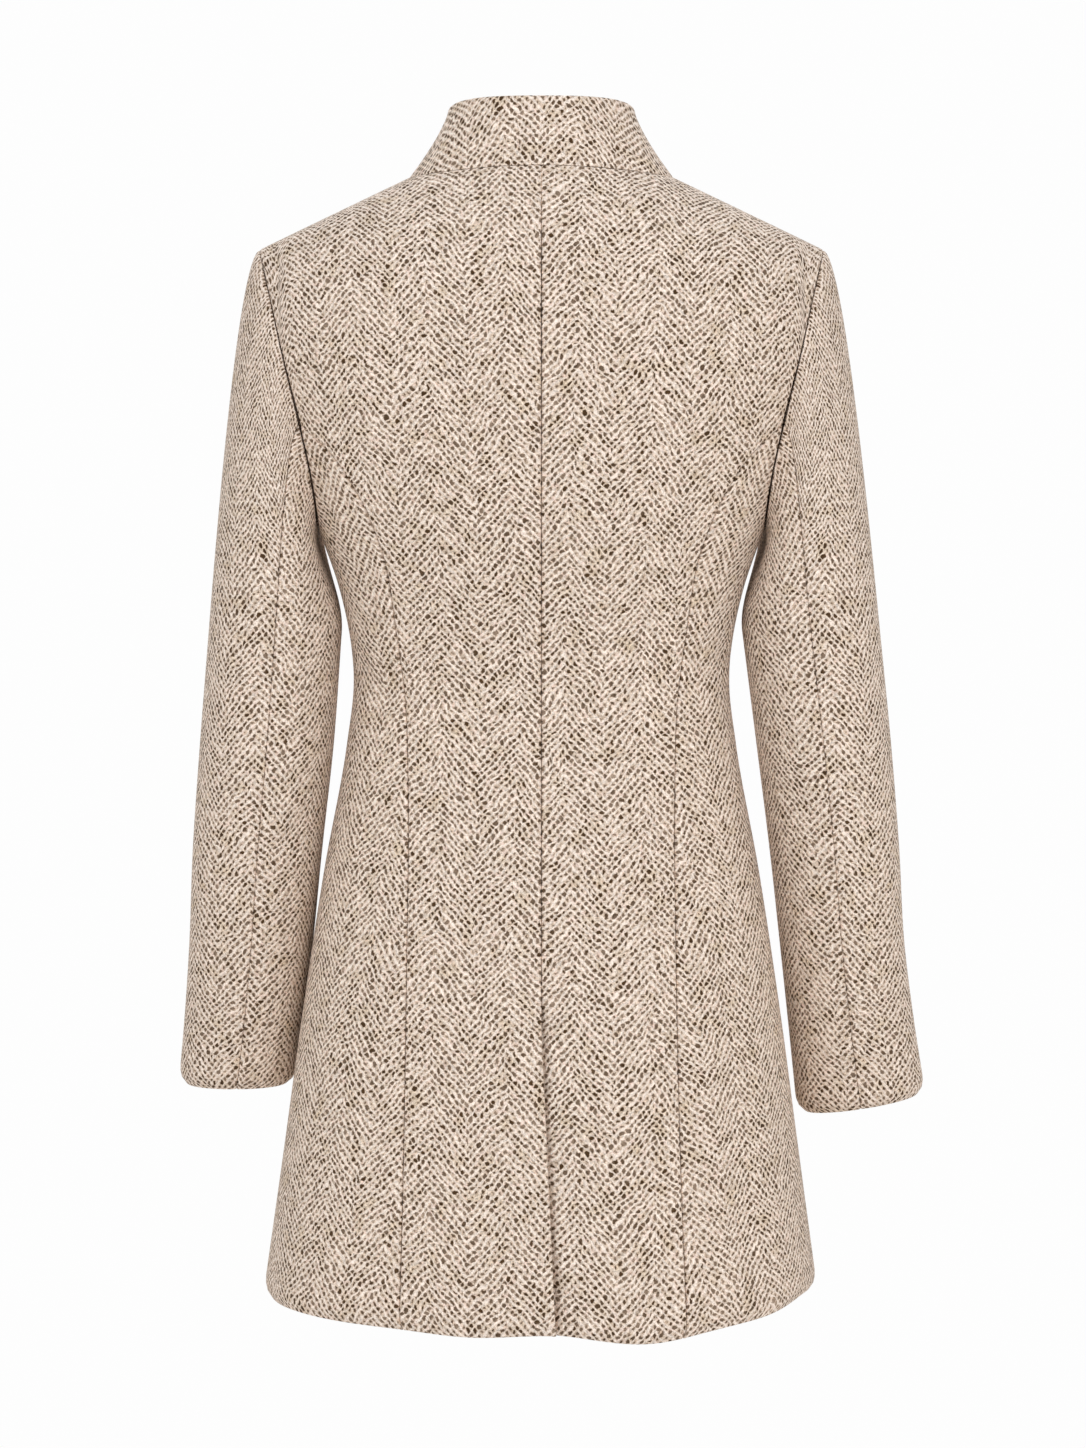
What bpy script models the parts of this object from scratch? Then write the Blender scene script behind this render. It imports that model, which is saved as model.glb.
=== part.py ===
"""Fitted three-quarter coat of herringbone tweed with a stand collar, hollow, in the pose it is worn in.

Frame: metres, +Z up. The coat faces -Y and the wearer's left is +X. The origin is the middle of the
neck opening, level with the collar seam at the centre back. Tables are in millimetres.
"""

import math
from collections import namedtuple

import bmesh
import bpy
import numpy as np
from mathutils import Vector

MM = 0.001

# Cloth
CLOTH = 2.4 * MM
SEAM_GAP = 0.3 * MM
SHAPING_GAP = 0.6 * MM
ARMHOLE_GAP = 0.9 * MM

# Heights of the cut
HEM_Z = -810 * MM
SEAM_TOP_Z = -181 * MM
UNDERARM_Z = -257 * MM
BACK_NECK_Z = 0.0
FRONT_NECK_DROP = 40 * MM

# Shoulders: a straight ridge from the neck point to the sleeve, rounded over to front and back
NECK_HALF = 94 * MM
NECK_SIDE_Z = -5.7 * MM
SHOULDER_HALF = 201 * MM
SHOULDER_SLOPE = 0.475
SHOULDER_ROUND = 110 * MM
ROUND_POWER = 2.4

# Flutes swell towards the hem by this power
FLUTE_POWER = 1.5

# Rings of the body are squarer than an ellipse by this power
SQUARENESS = 2.25

# Front lap and back vent
LAP = 20 * MM
LAP_FADE = 40 * MM
VENT_LEAN = 10 * MM
VENT_UNDERLAP = 34 * MM
VENT_FADE = 28 * MM
LAYER_STEP = CLOTH + 2 * SEAM_GAP

# Share of the side panel's length over which its columns turn from the armhole to the hem
SIDE_SETTLE = 0.5

# Stand collar
COLLAR_TOP_HALF = 66.5 * MM
COLLAR_TOP_BACK = 59 * MM
COLLAR_TOP_FRONT = 64 * MM
COLLAR_TOP_Z = 49 * MM
COLLAR_FRONT_DIP = 25 * MM
COLLAR_FLARE = 1.3

# Sleeves
SLEEVE_HEAD = 15 * MM
SLEEVE_PULL = 0.42
SLEEVE_FALL = 1.1
SLEEVE_BACK_EASE = 0.2
CAP_SPACING = 1.25
BACK_SEAM_TURN = -4
FRONT_SEAM_TURN = 200

# Buttons
BUTTON_RADIUS = 12 * MM
BUTTON_HOLE_RADIUS = 1.1 * MM
BUTTON_HOLE_OFFSET = 2.6 * MM
BUTTON_DRILL_LENGTH = 20 * MM
BUTTON_TOP_Z = -80 * MM
BUTTON_PITCH = 96 * MM
BUTTON_COUNT = 5

# How finely the pieces are divided
NECK_COLUMNS = 5
SHOULDER_COLUMNS = 5
LAP_COLUMNS = 2
SIDE_COLUMNS = 8
VENT_COLUMNS = 2
YOKE_ROWS = 8
SKIRT_ROWS = 18
VENT_TOP_ROW = YOKE_ROWS + 11
COLLAR_ROWS = 4
CAP_ROWS = 9
ARM_ROWS = 12
FINE = 240
STEP = 0.2 * MM
STEP_TURN = 0.002
BUTTON_STEPS = 16
MERGE = 0.00001

TWEED = (0.578, 0.474, 0.392)
TWEED_ROUGHNESS = 0.92
HORN = (0.105, 0.075, 0.055)
HORN_ROUGHNESS = 0.35

# Level rings of the body, from the neck to the hem
Section = namedtuple("Section", "z half_width back front")
BODY = (
    Section(60, 228, 80, 62),
    Section(0, 222, 88, 80),
    Section(-50, 215, 97, 90),
    Section(-100, 207, 104, 104),
    Section(-150, 195, 107, 116),
    Section(-200, 178, 106, 123),
    Section(-257, 159, 100, 124),
    Section(-300, 144.5, 91, 118),
    Section(-365, 135, 82, 107),
    Section(-410, 140, 86, 109),
    Section(-500, 156.5, 104, 117),
    Section(-600, 172, 121, 128),
    Section(-700, 185.5, 136, 139),
    Section(-810, 200.5, 150, 150),
)

# The armhole seam, as its distance from the middle on the back and on the front
Armhole = namedtuple("Armhole", "z back front")
ARMHOLE = (
    Armhole(-56.5, 201, 201),
    Armhole(-91, 192, 187),
    Armhole(-134, 182, 173),
    Armhole(-181, 170.5, 164),
    Armhole(-220, 162.5, 160),
    Armhole(-245, 159.5, 158.5),
    Armhole(-257, 159, 159),
)

# The two shaping seams of each side, as their distance from the middle
ShapingSeam = namedtuple("ShapingSeam", "z back front")
SHAPING = (
    ShapingSeam(-181, 170.5, 164),
    ShapingSeam(-203, 147, 144),
    ShapingSeam(-225, 132, 131),
    ShapingSeam(-265, 114, 118),
    ShapingSeam(-330, 102.5, 108),
    ShapingSeam(-372, 97, 105),
    ShapingSeam(-440, 94.5, 109),
    ShapingSeam(-560, 95, 121),
    ShapingSeam(-690, 97, 133),
    ShapingSeam(-810, 100.5, 142),
)

# Soft flutes of the skirt: turn and spread in degrees from the centre back towards the wearer's left,
# how far the hem swings out and hangs down there, and the height at which the flute begins
Flute = namedtuple("Flute", "turn spread out drop start")
FLUTES = (
    Flute(18, 16, 1.5, 3.0, -600),
    Flute(38, 12, -2.0, 0.0, -600),
    Flute(68, 18, 3.5, -2.0, -560),
    Flute(112, 15, 3.0, 0.5, -560),
    Flute(150, 12, 2.5, 0.5, -600),
    Flute(-27, 17, 4.0, 8.0, -560),
    Flute(-76, 13, -1.5, -6.0, -600),
    Flute(-108, 15, 3.0, 0.5, -560),
    Flute(-152, 12, 2.0, 0.5, -600),
)

# Rings of the sleeves below the cap; the cuffs hang at the last one
Ring = namedtuple("Ring", "z x y half_width half_depth tilt")
SLEEVES = {
    "left": (
        Ring(-330, 191.5, -3, 47.8, 59, 0.0),
        Ring(-410, 198, -5, 48.2, 57, 0.0),
        Ring(-487, 205.5, -10, 46.8, 53, 0.0),
        Ring(-560, 211.5, -20, 44.8, 49, 0.01),
        Ring(-610, 217, -29, 43.5, 46, 0.02),
        Ring(-665, 224, -39, 42.2, 44, 0.02),
    ),
    "right": (
        Ring(-330, 194, -3, 49.5, 59, 0.0),
        Ring(-410, 203.5, -5, 48.5, 57, 0.0),
        Ring(-487, 212, -10, 46.8, 53, 0.02),
        Ring(-560, 219, -20, 45.0, 49, 0.06),
        Ring(-615, 226, -29, 45.4, 46.5, 0.11),
        Ring(-679, 235, -40, 47.0, 45, 0.16),
    ),
}

# A button's section from the middle of its face over the rim to the middle of its back
Turning = namedtuple("Turning", "share height")
BUTTON_SECTION = (
    Turning(0, 2.4),
    Turning(0.57, 2.4),
    Turning(0.7, 3.5),
    Turning(0.87, 3.8),
    Turning(0.97, 3.0),
    Turning(1, 1.9),
    Turning(0.9, 0.3),
    Turning(0, 0),
)

SIDES = {"left": 1, "right": -1}
BACK, FRONT = 1, -1
FACES = {BACK: "back", FRONT: "front"}


# Tables and heights


def read(table, column, z):
    """Value of a table's column at height z, on a smooth curve through its rows, in metres."""
    rows = sorted(table)
    knots = np.array([row.z for row in rows]) * MM
    values = np.array([getattr(row, column) for row in rows]) * MM
    slopes = np.gradient(values, knots)
    z = np.asarray(z, float)
    i = np.clip(np.searchsorted(knots, z) - 1, 0, len(knots) - 2)
    span = knots[i + 1] - knots[i]
    t = np.clip((z - knots[i]) / span, 0, 1)
    start = (2 * t**3 - 3 * t**2 + 1) * values[i] + (t**3 - 2 * t**2 + t) * span * slopes[i]
    end = (3 * t**2 - 2 * t**3) * values[i + 1] + (t**3 - t**2) * span * slopes[i + 1]
    return start + end


def unit(vectors):
    """The vectors made one metre long."""
    return vectors / np.linalg.norm(vectors, axis=-1, keepdims=True)


def fade(distance, width):
    """1 up to distance 0, and softly down to 0 at width."""
    t = np.clip(distance / width, 0, 1)
    return 1 - t * t * (3 - 2 * t)


def even_heights(curve, top, bottom, steps):
    """Heights from top to bottom that lie evenly along a curve of the cloth."""
    heights = top + (bottom - top) * np.linspace(0, 1, FINE + 1) ** 2
    strides = np.linalg.norm(np.diff(curve(heights), axis=0), axis=1)
    length = np.concatenate([[0], np.cumsum(strides)])
    return np.interp(np.linspace(0, length[-1], steps + 1), length, heights)


# The body's outer surface


def ridge_z(x):
    """Height of the shoulder ridge above a sideways place."""
    return NECK_SIDE_Z - SHOULDER_SLOPE * (np.abs(x) - NECK_HALF)


def shoulder_round(x, z):
    """How much of its depth the body has reached below the shoulder ridge, from 0 to 1."""
    depth = np.clip((ridge_z(x) - z) / SHOULDER_ROUND, 0, 1)
    return (1 - (1 - depth) ** ROUND_POWER) ** (1 / ROUND_POWER)


def body_across(x, z, facing):
    """Body's surface at a sideways place and height, on its back or its front."""
    x, z = np.broadcast_arrays(np.asarray(x, float), np.asarray(z, float))
    deep = read(BODY, FACES[facing], z)
    across = np.clip(np.abs(x) / read(BODY, "half_width", z), 0, 1)
    y = facing * deep * (1 - across**SQUARENESS) ** (1 / SQUARENESS) * shoulder_round(x, z)
    return np.stack([x, y, z], -1)


def body_round(turn, z):
    """Body's surface at a turn from the centre back towards +X, below the armhole's seams."""
    turn, z = np.broadcast_arrays(np.asarray(turn, float), np.asarray(z, float))
    deep = np.where(np.cos(turn) > 0, read(BODY, "back", z), read(BODY, "front", z))
    power = 2 / SQUARENESS
    x = read(BODY, "half_width", z) * np.sign(np.sin(turn)) * np.abs(np.sin(turn)) ** power
    y = deep * np.sign(np.cos(turn)) * np.abs(np.cos(turn)) ** power
    return np.stack([x, y, z], -1)


def turn_of(x, z, facing):
    """The turn round the body of a point that lies at x on its back or its front."""
    across = np.clip(x / read(BODY, "half_width", z), 0, 1)
    turn = np.arcsin(across ** (SQUARENESS / 2))
    return turn if facing == BACK else math.pi - turn


def outward_of(surface, place, z, step):
    """Unit normals of a surface that point away from the wearer."""
    along_place = surface(place + step, z) - surface(place - step, z)
    along_z = surface(place, z + STEP) - surface(place, z - STEP)
    normals = unit(np.cross(along_place, along_z))
    points = surface(place, z)
    away = points * (1, 1, 0) + (0, 0, SHOULDER_ROUND)
    return normals * np.sign((normals * away).sum(-1, keepdims=True))


def neck_z(x, facing):
    """Height of the collar seam, level behind and scooped in front."""
    share = np.clip(np.abs(x) / NECK_HALF, 0, 1) ** 2
    if facing == BACK:
        return BACK_NECK_Z + (NECK_SIDE_Z - BACK_NECK_Z) * share
    return NECK_SIDE_Z - FRONT_NECK_DROP * (1 - share)


def armhole_x(z, facing):
    """Distance of the armhole seam from the middle."""
    return read(ARMHOLE, FACES[facing], z)


def skirt_levels():
    """Heights of the rows that all panels share below the armhole."""
    return np.linspace(SEAM_TOP_Z, HEM_Z, SKIRT_ROWS + 1)


VENT_TOP_Z = skirt_levels()[VENT_TOP_ROW - YOKE_ROWS]
VENT_OPEN_Z = skirt_levels()[VENT_TOP_ROW - YOKE_ROWS + 1]


def vent_lean(z):
    """How far the vent's upper edge has swung past the centre back."""
    return VENT_LEAN * np.clip((VENT_OPEN_Z - z) / (VENT_OPEN_Z - HEM_Z), 0, 1)


# Panels of the body, worked out for the wearer's left


def outer_edge(z, facing):
    """The panel's edge at the side: the armhole, then the shaping seam."""
    seam = read(SHAPING, FACES[facing], z)
    return np.where(z >= SEAM_TOP_Z, armhole_x(z, facing), seam)


def top_places(first_columns, first_edge):
    """Sideways places of the columns at the panel's top, through the neck to the sleeve."""
    lap = np.linspace(first_edge, 0, first_columns + 1)[:-1] if first_columns else np.zeros(0)
    neck = NECK_HALF * np.sin(np.linspace(0, math.pi / 2, NECK_COLUMNS + 1))
    shoulder = np.linspace(NECK_HALF, SHOULDER_HALF, SHOULDER_COLUMNS + 1)[1:]
    return np.concatenate([lap, neck, shoulder])


def panel_rows(tops, first_edge, facing):
    """Sideways places and heights of a panel's grid, in rows from the top to the hem."""
    shares = (tops - first_edge(0.0)) / (SHOULDER_HALF - first_edge(0.0))
    levels = skirt_levels()[1:]
    x = np.zeros((YOKE_ROWS + SKIRT_ROWS + 1, len(tops)))
    z = np.zeros_like(x)
    for column, (share, top_x) in enumerate(zip(shares, tops)):

        def place(height):
            edge = first_edge(height)
            return edge + share * (outer_edge(height, facing) - edge)

        top_z = ridge_z(top_x) if top_x >= NECK_HALF else neck_z(top_x, facing)
        yoke = even_heights(
            lambda height: body_across(place(height), height, facing), top_z, SEAM_TOP_Z, YOKE_ROWS
        )
        z[:, column] = np.concatenate([yoke, levels])
        x[:, column] = place(z[:, column])
        x[0, column] = top_x
    return x, z


def panel_outward(x, z, facing):
    """Normals of a back or front panel, square to the ridge along its shoulder edge."""
    normals = outward_of(lambda across, height: body_across(across, height, facing), x, z, STEP)
    on_ridge = x[0] >= NECK_HALF - STEP
    normals[0, on_ridge] = unit(np.array([SHOULDER_SLOPE, 0, 1]))
    return normals


def back_grid(columns_past_centre, first_edge):
    """Sideways places and heights of a back, with the vent's columns past the centre."""
    tops = top_places(0, 0)
    x, z = panel_rows(tops, first_edge, BACK)
    if columns_past_centre:
        under = np.linspace(-VENT_UNDERLAP, 0, columns_past_centre + 1)[:-1]
        x = np.hstack([np.tile(under, (len(x), 1)), x])
        z = np.hstack([np.tile(z[:, :1], (1, columns_past_centre)), z])
    return x, z


def back_left():
    """Back whose vent edge lies on top and swings past the centre."""
    x, z = back_grid(0, lambda height: -vent_lean(height))
    return body_across(x, z, BACK), panel_outward(x, z, BACK)


def back_right():
    """Back whose vent runs on under the other one, a layer further in."""
    x, z = back_grid(VENT_COLUMNS, lambda height: 0 * height)
    points = body_across(x, z, BACK)
    normals = panel_outward(x, z, BACK)
    opened = np.clip((VENT_TOP_Z - z) / (VENT_TOP_Z - VENT_OPEN_Z), 0, 1)
    sunk = LAYER_STEP * opened * fade(x - vent_lean(z) - SEAM_GAP, VENT_FADE)
    return points - sunk[..., None] * normals, normals


def front(under):
    """Front with its lap past the centre, a layer further in where it lies under the other one."""
    tops = top_places(LAP_COLUMNS, -LAP)
    x, z = panel_rows(tops, lambda height: -LAP + 0 * height, FRONT)
    points = body_across(x, z, FRONT)
    normals = panel_outward(x, z, FRONT)
    sunk = LAYER_STEP * under * fade(np.abs(x) - LAP - SEAM_GAP, LAP_FADE)
    return points - sunk[..., None] * normals, normals


def underarm_places():
    """Sideways places and heights of the armhole's lower arc, and which of them lie on the back."""
    arc = np.linspace(1, -1, SIDE_COLUMNS + 1)
    z = UNDERARM_Z + (SEAM_TOP_Z - UNDERARM_Z) * arc**2
    behind = arc >= 0
    x = np.where(behind, armhole_x(z, BACK), armhole_x(z, FRONT))
    return x, z, behind


def side():
    """Side panel, from the back shaping seam round under the arm to the front one."""
    arm_x, arm_z, behind = underarm_places()
    arm_turn = np.where(behind, turn_of(arm_x, arm_z, BACK), turn_of(arm_x, arm_z, FRONT))
    shares = np.linspace(0, 1, SIDE_COLUMNS + 1)

    def seam_turns(z):
        return [turn_of(read(SHAPING, FACES[facing], z), z, facing) for facing in (BACK, FRONT)]

    first, last = seam_turns(arm_z)
    top_shares = (arm_turn - first) / (last - first)
    falls = np.linspace(0, 1, SKIRT_ROWS + 1)[:, None]
    z = arm_z + (HEM_Z - arm_z) * falls
    settled = fade(falls, SIDE_SETTLE)
    first, last = seam_turns(z)
    turn = first + (last - first) * (top_shares * settled + shares * (1 - settled))
    return body_round(turn, z), outward_of(body_round, turn, z, STEP_TURN)


# Collar


def neckline():
    """Turns round the neck from the centre back to the centre front, and the seam's points."""
    turns = np.linspace(0, math.pi, 2 * NECK_COLUMNS + 1)
    x = NECK_HALF * np.sin(turns)
    behind = body_across(x, neck_z(x, BACK), BACK)
    before = body_across(x, neck_z(x, FRONT), FRONT)
    return turns, np.where((turns <= math.pi / 2)[:, None], behind, before)


def collar():
    """Stand collar, from its end at the centre front round the back to the other end."""
    turns, base = neckline()
    depth = np.where(np.cos(turns) > 0, COLLAR_TOP_BACK, COLLAR_TOP_FRONT)
    dip = COLLAR_FRONT_DIP * ((1 - np.cos(turns)) / 2) ** 2
    top = np.stack(
        [COLLAR_TOP_HALF * np.sin(turns), depth * np.cos(turns), COLLAR_TOP_Z - dip], -1
    )
    rise = np.linspace(1, 0, COLLAR_ROWS + 1)[:, None]
    inward = 1 - (1 - rise) ** COLLAR_FLARE
    half = np.concatenate(
        [
            base[None, :, :2] + (top - base)[None, :, :2] * inward[..., None],
            base[None, :, 2:] + (top - base)[None, :, 2:] * rise[..., None],
        ],
        axis=-1,
    )
    other = half[:, :0:-1] * (-1, 1, 1)
    points = np.concatenate([other, half], axis=1)
    normals = unit(np.cross(np.gradient(points, axis=1), np.gradient(points, axis=0)))
    away = points * (1, 1, 0)
    return points, normals * np.sign((normals * away).sum(-1, keepdims=True))


# Sleeves, worked out for the wearer's left


def armhole_edge(facing):
    """Points of the armhole seam from the shoulder down to the shaping seam."""

    def edge(z):
        return body_across(armhole_x(z, facing), z, facing)

    return edge(even_heights(edge, ridge_z(SHOULDER_HALF), SEAM_TOP_Z, YOKE_ROWS))


def armhole_points():
    """Points of the armhole seam: down the back, under the arm and up the front again."""
    x, z, behind = underarm_places()
    under = np.where(behind[:, None], body_across(x, z, BACK), body_across(x, z, FRONT))
    return np.concatenate([armhole_edge(BACK)[:-1], under, armhole_edge(FRONT)[-2:0:-1]])


def ring_points(rings, z, turns):
    """Points of a sleeve's ring at height z; turn 0 is its back, a quarter turn its outside."""
    tilt = read(rings, "tilt", z) / MM
    x = read(rings, "half_width", z) * np.sin(turns)
    y = read(rings, "half_depth", z) * np.cos(turns)
    middle = np.stack([read(rings, "x", z), read(rings, "y", z), z + 0 * x], -1)
    return middle + np.stack([x, y, tilt * x], -1)


def sleeve_turns():
    """Turns of the sleeve's columns, from its outside round the back, the inside and the front."""
    back_seam = 360 + BACK_SEAM_TURN
    over_back = np.linspace(450, back_seam, YOKE_ROWS + 1)[:-1]
    under = np.linspace(back_seam, FRONT_SEAM_TURN, SIDE_COLUMNS + 1)[:-1]
    over_front = np.linspace(FRONT_SEAM_TURN, 90, YOKE_ROWS + 1)[:-1]
    return np.radians(np.concatenate([over_back, under, over_front]))


def sleeve_headings(starts, turns):
    """Directions in which the columns leave the armhole: out at the shoulder, down under the arm."""
    height = (starts[:, 2] - UNDERARM_Z) / (ridge_z(SHOULDER_HALF) - UNDERARM_Z)
    out = np.ones(len(turns))
    back = SLEEVE_BACK_EASE * np.cos(turns) * np.sin(math.pi * height)
    down = -(SHOULDER_SLOPE + SLEEVE_FALL * (1 - height))
    return unit(np.stack([out, back, down], -1))


def sleeve_cap(starts, headings, rings, turns):
    """Rows of the cap, evenly along curves from the armhole to the sleeve's first ring."""
    top_z = np.full(len(turns), rings[0].z * MM)
    ends = ring_points(rings, top_z, turns)
    falling = unit(ring_points(rings, top_z - STEP, turns) - ends)
    first = starts + headings * SLEEVE_HEAD
    second = ends - falling * SLEEVE_PULL * np.linalg.norm(ends - starts, axis=1, keepdims=True)
    t = np.linspace(0, 1, FINE + 1)[:, None, None]
    near = (1 - t) ** 3 * starts + 3 * (1 - t) ** 2 * t * first
    curves = near + 3 * (1 - t) * t**2 * second + t**3 * ends
    shares = np.linspace(0, 1, CAP_ROWS + 1) ** CAP_SPACING
    rows = np.zeros((CAP_ROWS + 1, len(turns), 3))
    for column in range(len(turns)):
        curve = curves[:, column]
        strides = np.linalg.norm(np.diff(curve, axis=0), axis=1)
        length = np.concatenate([[0], np.cumsum(strides)])
        for axis in range(3):
            rows[:, column, axis] = np.interp(shares * length[-1], length, curve[:, axis])
    return rows


def sleeve_columns(rings):
    """The sleeve as a closed ring of columns from the shoulder round the back, and how they set out."""
    turns = sleeve_turns()
    starts = armhole_points()
    headings = sleeve_headings(starts, turns)
    levels = np.linspace(rings[0].z, rings[-1].z, ARM_ROWS + 1)[1:] * MM
    arm = [ring_points(rings, np.full(len(turns), z), turns) for z in levels]
    return np.concatenate([sleeve_cap(starts, headings, rings, turns), arm]), headings


def sleeve(rings, piece):
    """The upper or the under sleeve, with the normals of the whole sleeve."""
    points, headings = sleeve_columns(rings)
    round_it = np.roll(points, -1, axis=1) - np.roll(points, 1, axis=1)
    down_it = np.gradient(points, axis=0)
    down_it[0] = headings
    normals = unit(np.cross(round_it, down_it))
    middles = points.mean(axis=1, keepdims=True)
    normals *= np.sign((normals * (points - middles)).sum(-1, keepdims=True).mean(axis=0))
    count = points.shape[1]
    under = np.arange(YOKE_ROWS, YOKE_ROWS + SIDE_COLUMNS + 1)
    over = np.arange(YOKE_ROWS + SIDE_COLUMNS, count + YOKE_ROWS + 1) % count
    chosen = over if piece == "upper" else under
    return points[:, chosen], normals[:, chosen]


# Solids


EDGES = {
    "top": (np.s_[0], np.s_[1]),
    "bottom": (np.s_[-1], np.s_[-2]),
    "first": (np.s_[:, 0], np.s_[:, 1]),
    "last": (np.s_[:, -1], np.s_[:, -2]),
}


def drawn_in(points, gaps):
    """The grid with its named edges drawn in by half of their seam's gap."""
    grid = points.copy()
    for edge, gap in gaps.items():
        at, beside = EDGES[edge]
        grid[at] += unit(points[beside] - points[at]) * gap / 2
    return grid


def hung(points):
    """The points of the skirt moved as its flutes hang."""
    x, y, z = np.moveaxis(points, -1, 0)
    turn = np.arctan2(x, y)
    out = np.zeros(turn.shape)
    drop = np.zeros(turn.shape)
    for flute in FLUTES:
        away = (np.degrees(turn) - flute.turn + 180) % 360 - 180
        fall = np.clip((flute.start * MM - z) / (flute.start * MM - HEM_Z), 0, 1) ** FLUTE_POWER
        share = np.exp(-((away / flute.spread) ** 2)) * fall
        out += flute.out * MM * share
        drop += flute.drop * MM * share
    return points + np.stack([out * np.sin(turn), out * np.cos(turn), -drop], -1)


def wall(name, outer, normals, side_sign, shape=None, cut_away=None):
    """A closed wall of cloth on a grid of points, its thickness turned towards the wearer."""
    rows, columns = outer.shape[:2]
    mirrored = np.array([side_sign, 1, 1])
    inner = (outer - normals * CLOTH) * mirrored
    outer = outer * mirrored
    if shape:
        inner, outer = shape(inner), shape(outer)
    build = bmesh.new()
    bmesh.ops.create_grid(build, x_segments=columns - 1, y_segments=rows - 1, size=1)

    def cell(point):
        return round((point.y + 1) / 2 * (rows - 1)), round((point.x + 1) / 2 * (columns - 1))

    if cut_away:
        gone = []
        for face in build.faces:
            middle = face.calc_center_median()
            row = (middle.y + 1) / 2 * (rows - 1)
            column = (middle.x + 1) / 2 * (columns - 1)
            if cut_away(row, column):
                gone.append(face)
        bmesh.ops.delete(build, geom=gone, context="FACES")
    copied = bmesh.ops.extrude_face_region(build, geom=build.faces[:])["geom"]
    lining = {vert for vert in copied if isinstance(vert, bmesh.types.BMVert)}
    for vert in build.verts:
        row, column = cell(vert.co)
        vert.co = (inner if vert in lining else outer)[row, column]
    bmesh.ops.recalc_face_normals(build, faces=build.faces[:])
    mesh = bpy.data.meshes.new(name)
    build.to_mesh(mesh)
    build.free()
    mesh.shade_smooth()
    return placed(bpy.data.objects.new(name, mesh), TWEED, TWEED_ROUGHNESS)


def placed(obj, colour, roughness):
    """Links a piece to the coat and gives it its own finish."""
    material = bpy.data.materials.new(f"{obj.name}_finish")
    material.use_nodes = True
    shader = material.node_tree.nodes["Principled BSDF"]
    shader.inputs["Base Color"].default_value = (*colour, 1)
    shader.inputs["Roughness"].default_value = roughness
    shader.inputs["Metallic"].default_value = 0
    obj.data.materials.append(material)
    bpy.data.collections["duster_coat"].objects.link(obj)
    obj.parent = bpy.data.objects["coat"]
    return obj


def button_profile(name):
    """A sew-through button's turned section: a sunk face inside a rounded rim."""
    mesh = bpy.data.meshes.new(name)
    points = [(turn.share * BUTTON_RADIUS, 0, turn.height * MM) for turn in BUTTON_SECTION]
    mesh.from_pydata(points, [(i, i + 1) for i in range(len(points) - 1)], [])
    return mesh


def button(name, middle, outward):
    """A four-hole button that lies on the front."""
    obj = bpy.data.objects.new(name, button_profile(name))
    obj.location = middle + outward * SEAM_GAP
    obj.rotation_mode = "QUATERNION"
    obj.rotation_quaternion = outward.to_track_quat("Z", "Y")
    turned = obj.modifiers.new("turned", "SCREW")
    turned.steps = turned.render_steps = BUTTON_STEPS
    turned.use_merge_vertices = True
    turned.merge_threshold = MERGE
    drilled = obj.modifiers.new("drilled", "BOOLEAN")
    drilled.object = button_drill(name, obj)
    return placed(obj, HORN, HORN_ROUGHNESS)


def button_drill(name, obj):
    """Four drills of a button, in one cutter."""
    build = bmesh.new()
    for quarter in range(4):
        turn = math.radians(45 + 90 * quarter)
        rod = bmesh.ops.create_cone(
            build, cap_ends=True, segments=8, radius1=BUTTON_HOLE_RADIUS,
            radius2=BUTTON_HOLE_RADIUS, depth=BUTTON_DRILL_LENGTH,
        )
        away = Vector((math.cos(turn), math.sin(turn), 0)) * BUTTON_HOLE_OFFSET
        bmesh.ops.translate(build, verts=rod["verts"], vec=away)
    mesh = bpy.data.meshes.new(f"{name}_drill")
    build.to_mesh(mesh)
    build.free()
    cutter = bpy.data.objects.new(f"{name}_drill", mesh)
    cutter.location = obj.location
    cutter.rotation_mode = "QUATERNION"
    cutter.rotation_quaternion = obj.rotation_quaternion
    cutter.hide_render = True
    cutter.display_type = "WIRE"
    bpy.data.collections["cutters"].objects.link(cutter)
    return cutter


def above_vent(row, column):
    """True where the vent's underlap has no cloth: past the centre, above the vent's opening."""
    return column < VENT_COLUMNS and row < VENT_TOP_ROW + 1


def make_body():
    """Backs, fronts and sides, from the collar seam to the hem."""
    seams = {"top": SEAM_GAP, "first": SEAM_GAP, "last": SHAPING_GAP}
    points, normals = back_left()
    wall("back_left", drawn_in(points, seams), normals, SIDES["left"], hung)
    points, normals = back_right()
    centre = points.copy()
    centre[:, VENT_COLUMNS:] = drawn_in(points[:, VENT_COLUMNS:], seams)
    wall("back_right", centre, normals, SIDES["right"], hung, above_vent)
    for name, sign in SIDES.items():
        points, normals = front(under=name == "left")
        edges = {"top": SEAM_GAP, "last": SHAPING_GAP}
        wall(f"front_{name}", drawn_in(points, edges), normals, sign, hung)
        points, normals = side()
        edges = {"top": SEAM_GAP, "first": SHAPING_GAP, "last": SHAPING_GAP}
        wall(f"side_{name}", drawn_in(points, edges), normals, sign, hung)


def make_collar():
    """The stand collar."""
    points, normals = collar()
    gaps = {"bottom": SHAPING_GAP, "first": SEAM_GAP, "last": SEAM_GAP}
    wall("collar", drawn_in(points, gaps), normals, 1)


def make_sleeves():
    """Upper and under sleeve of each arm."""
    for name, sign in SIDES.items():
        for piece in ("upper", "under"):
            points, normals = sleeve(SLEEVES[name], piece)
            gaps = {"top": ARMHOLE_GAP, "first": SHAPING_GAP, "last": SHAPING_GAP}
            wall(f"sleeve_{piece}_{name}", drawn_in(points, gaps), normals, sign)


def front_middle(z):
    """Points of the front at its middle, straight between the rows of the panel."""
    levels = skirt_levels()
    straight = np.interp(-z, -levels, body_across(0 * levels, levels, FRONT)[:, 1])
    points = body_across(0 * z, z, FRONT)
    points[:, 1] = np.where(z < SEAM_TOP_Z, straight, points[:, 1])
    return points


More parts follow.
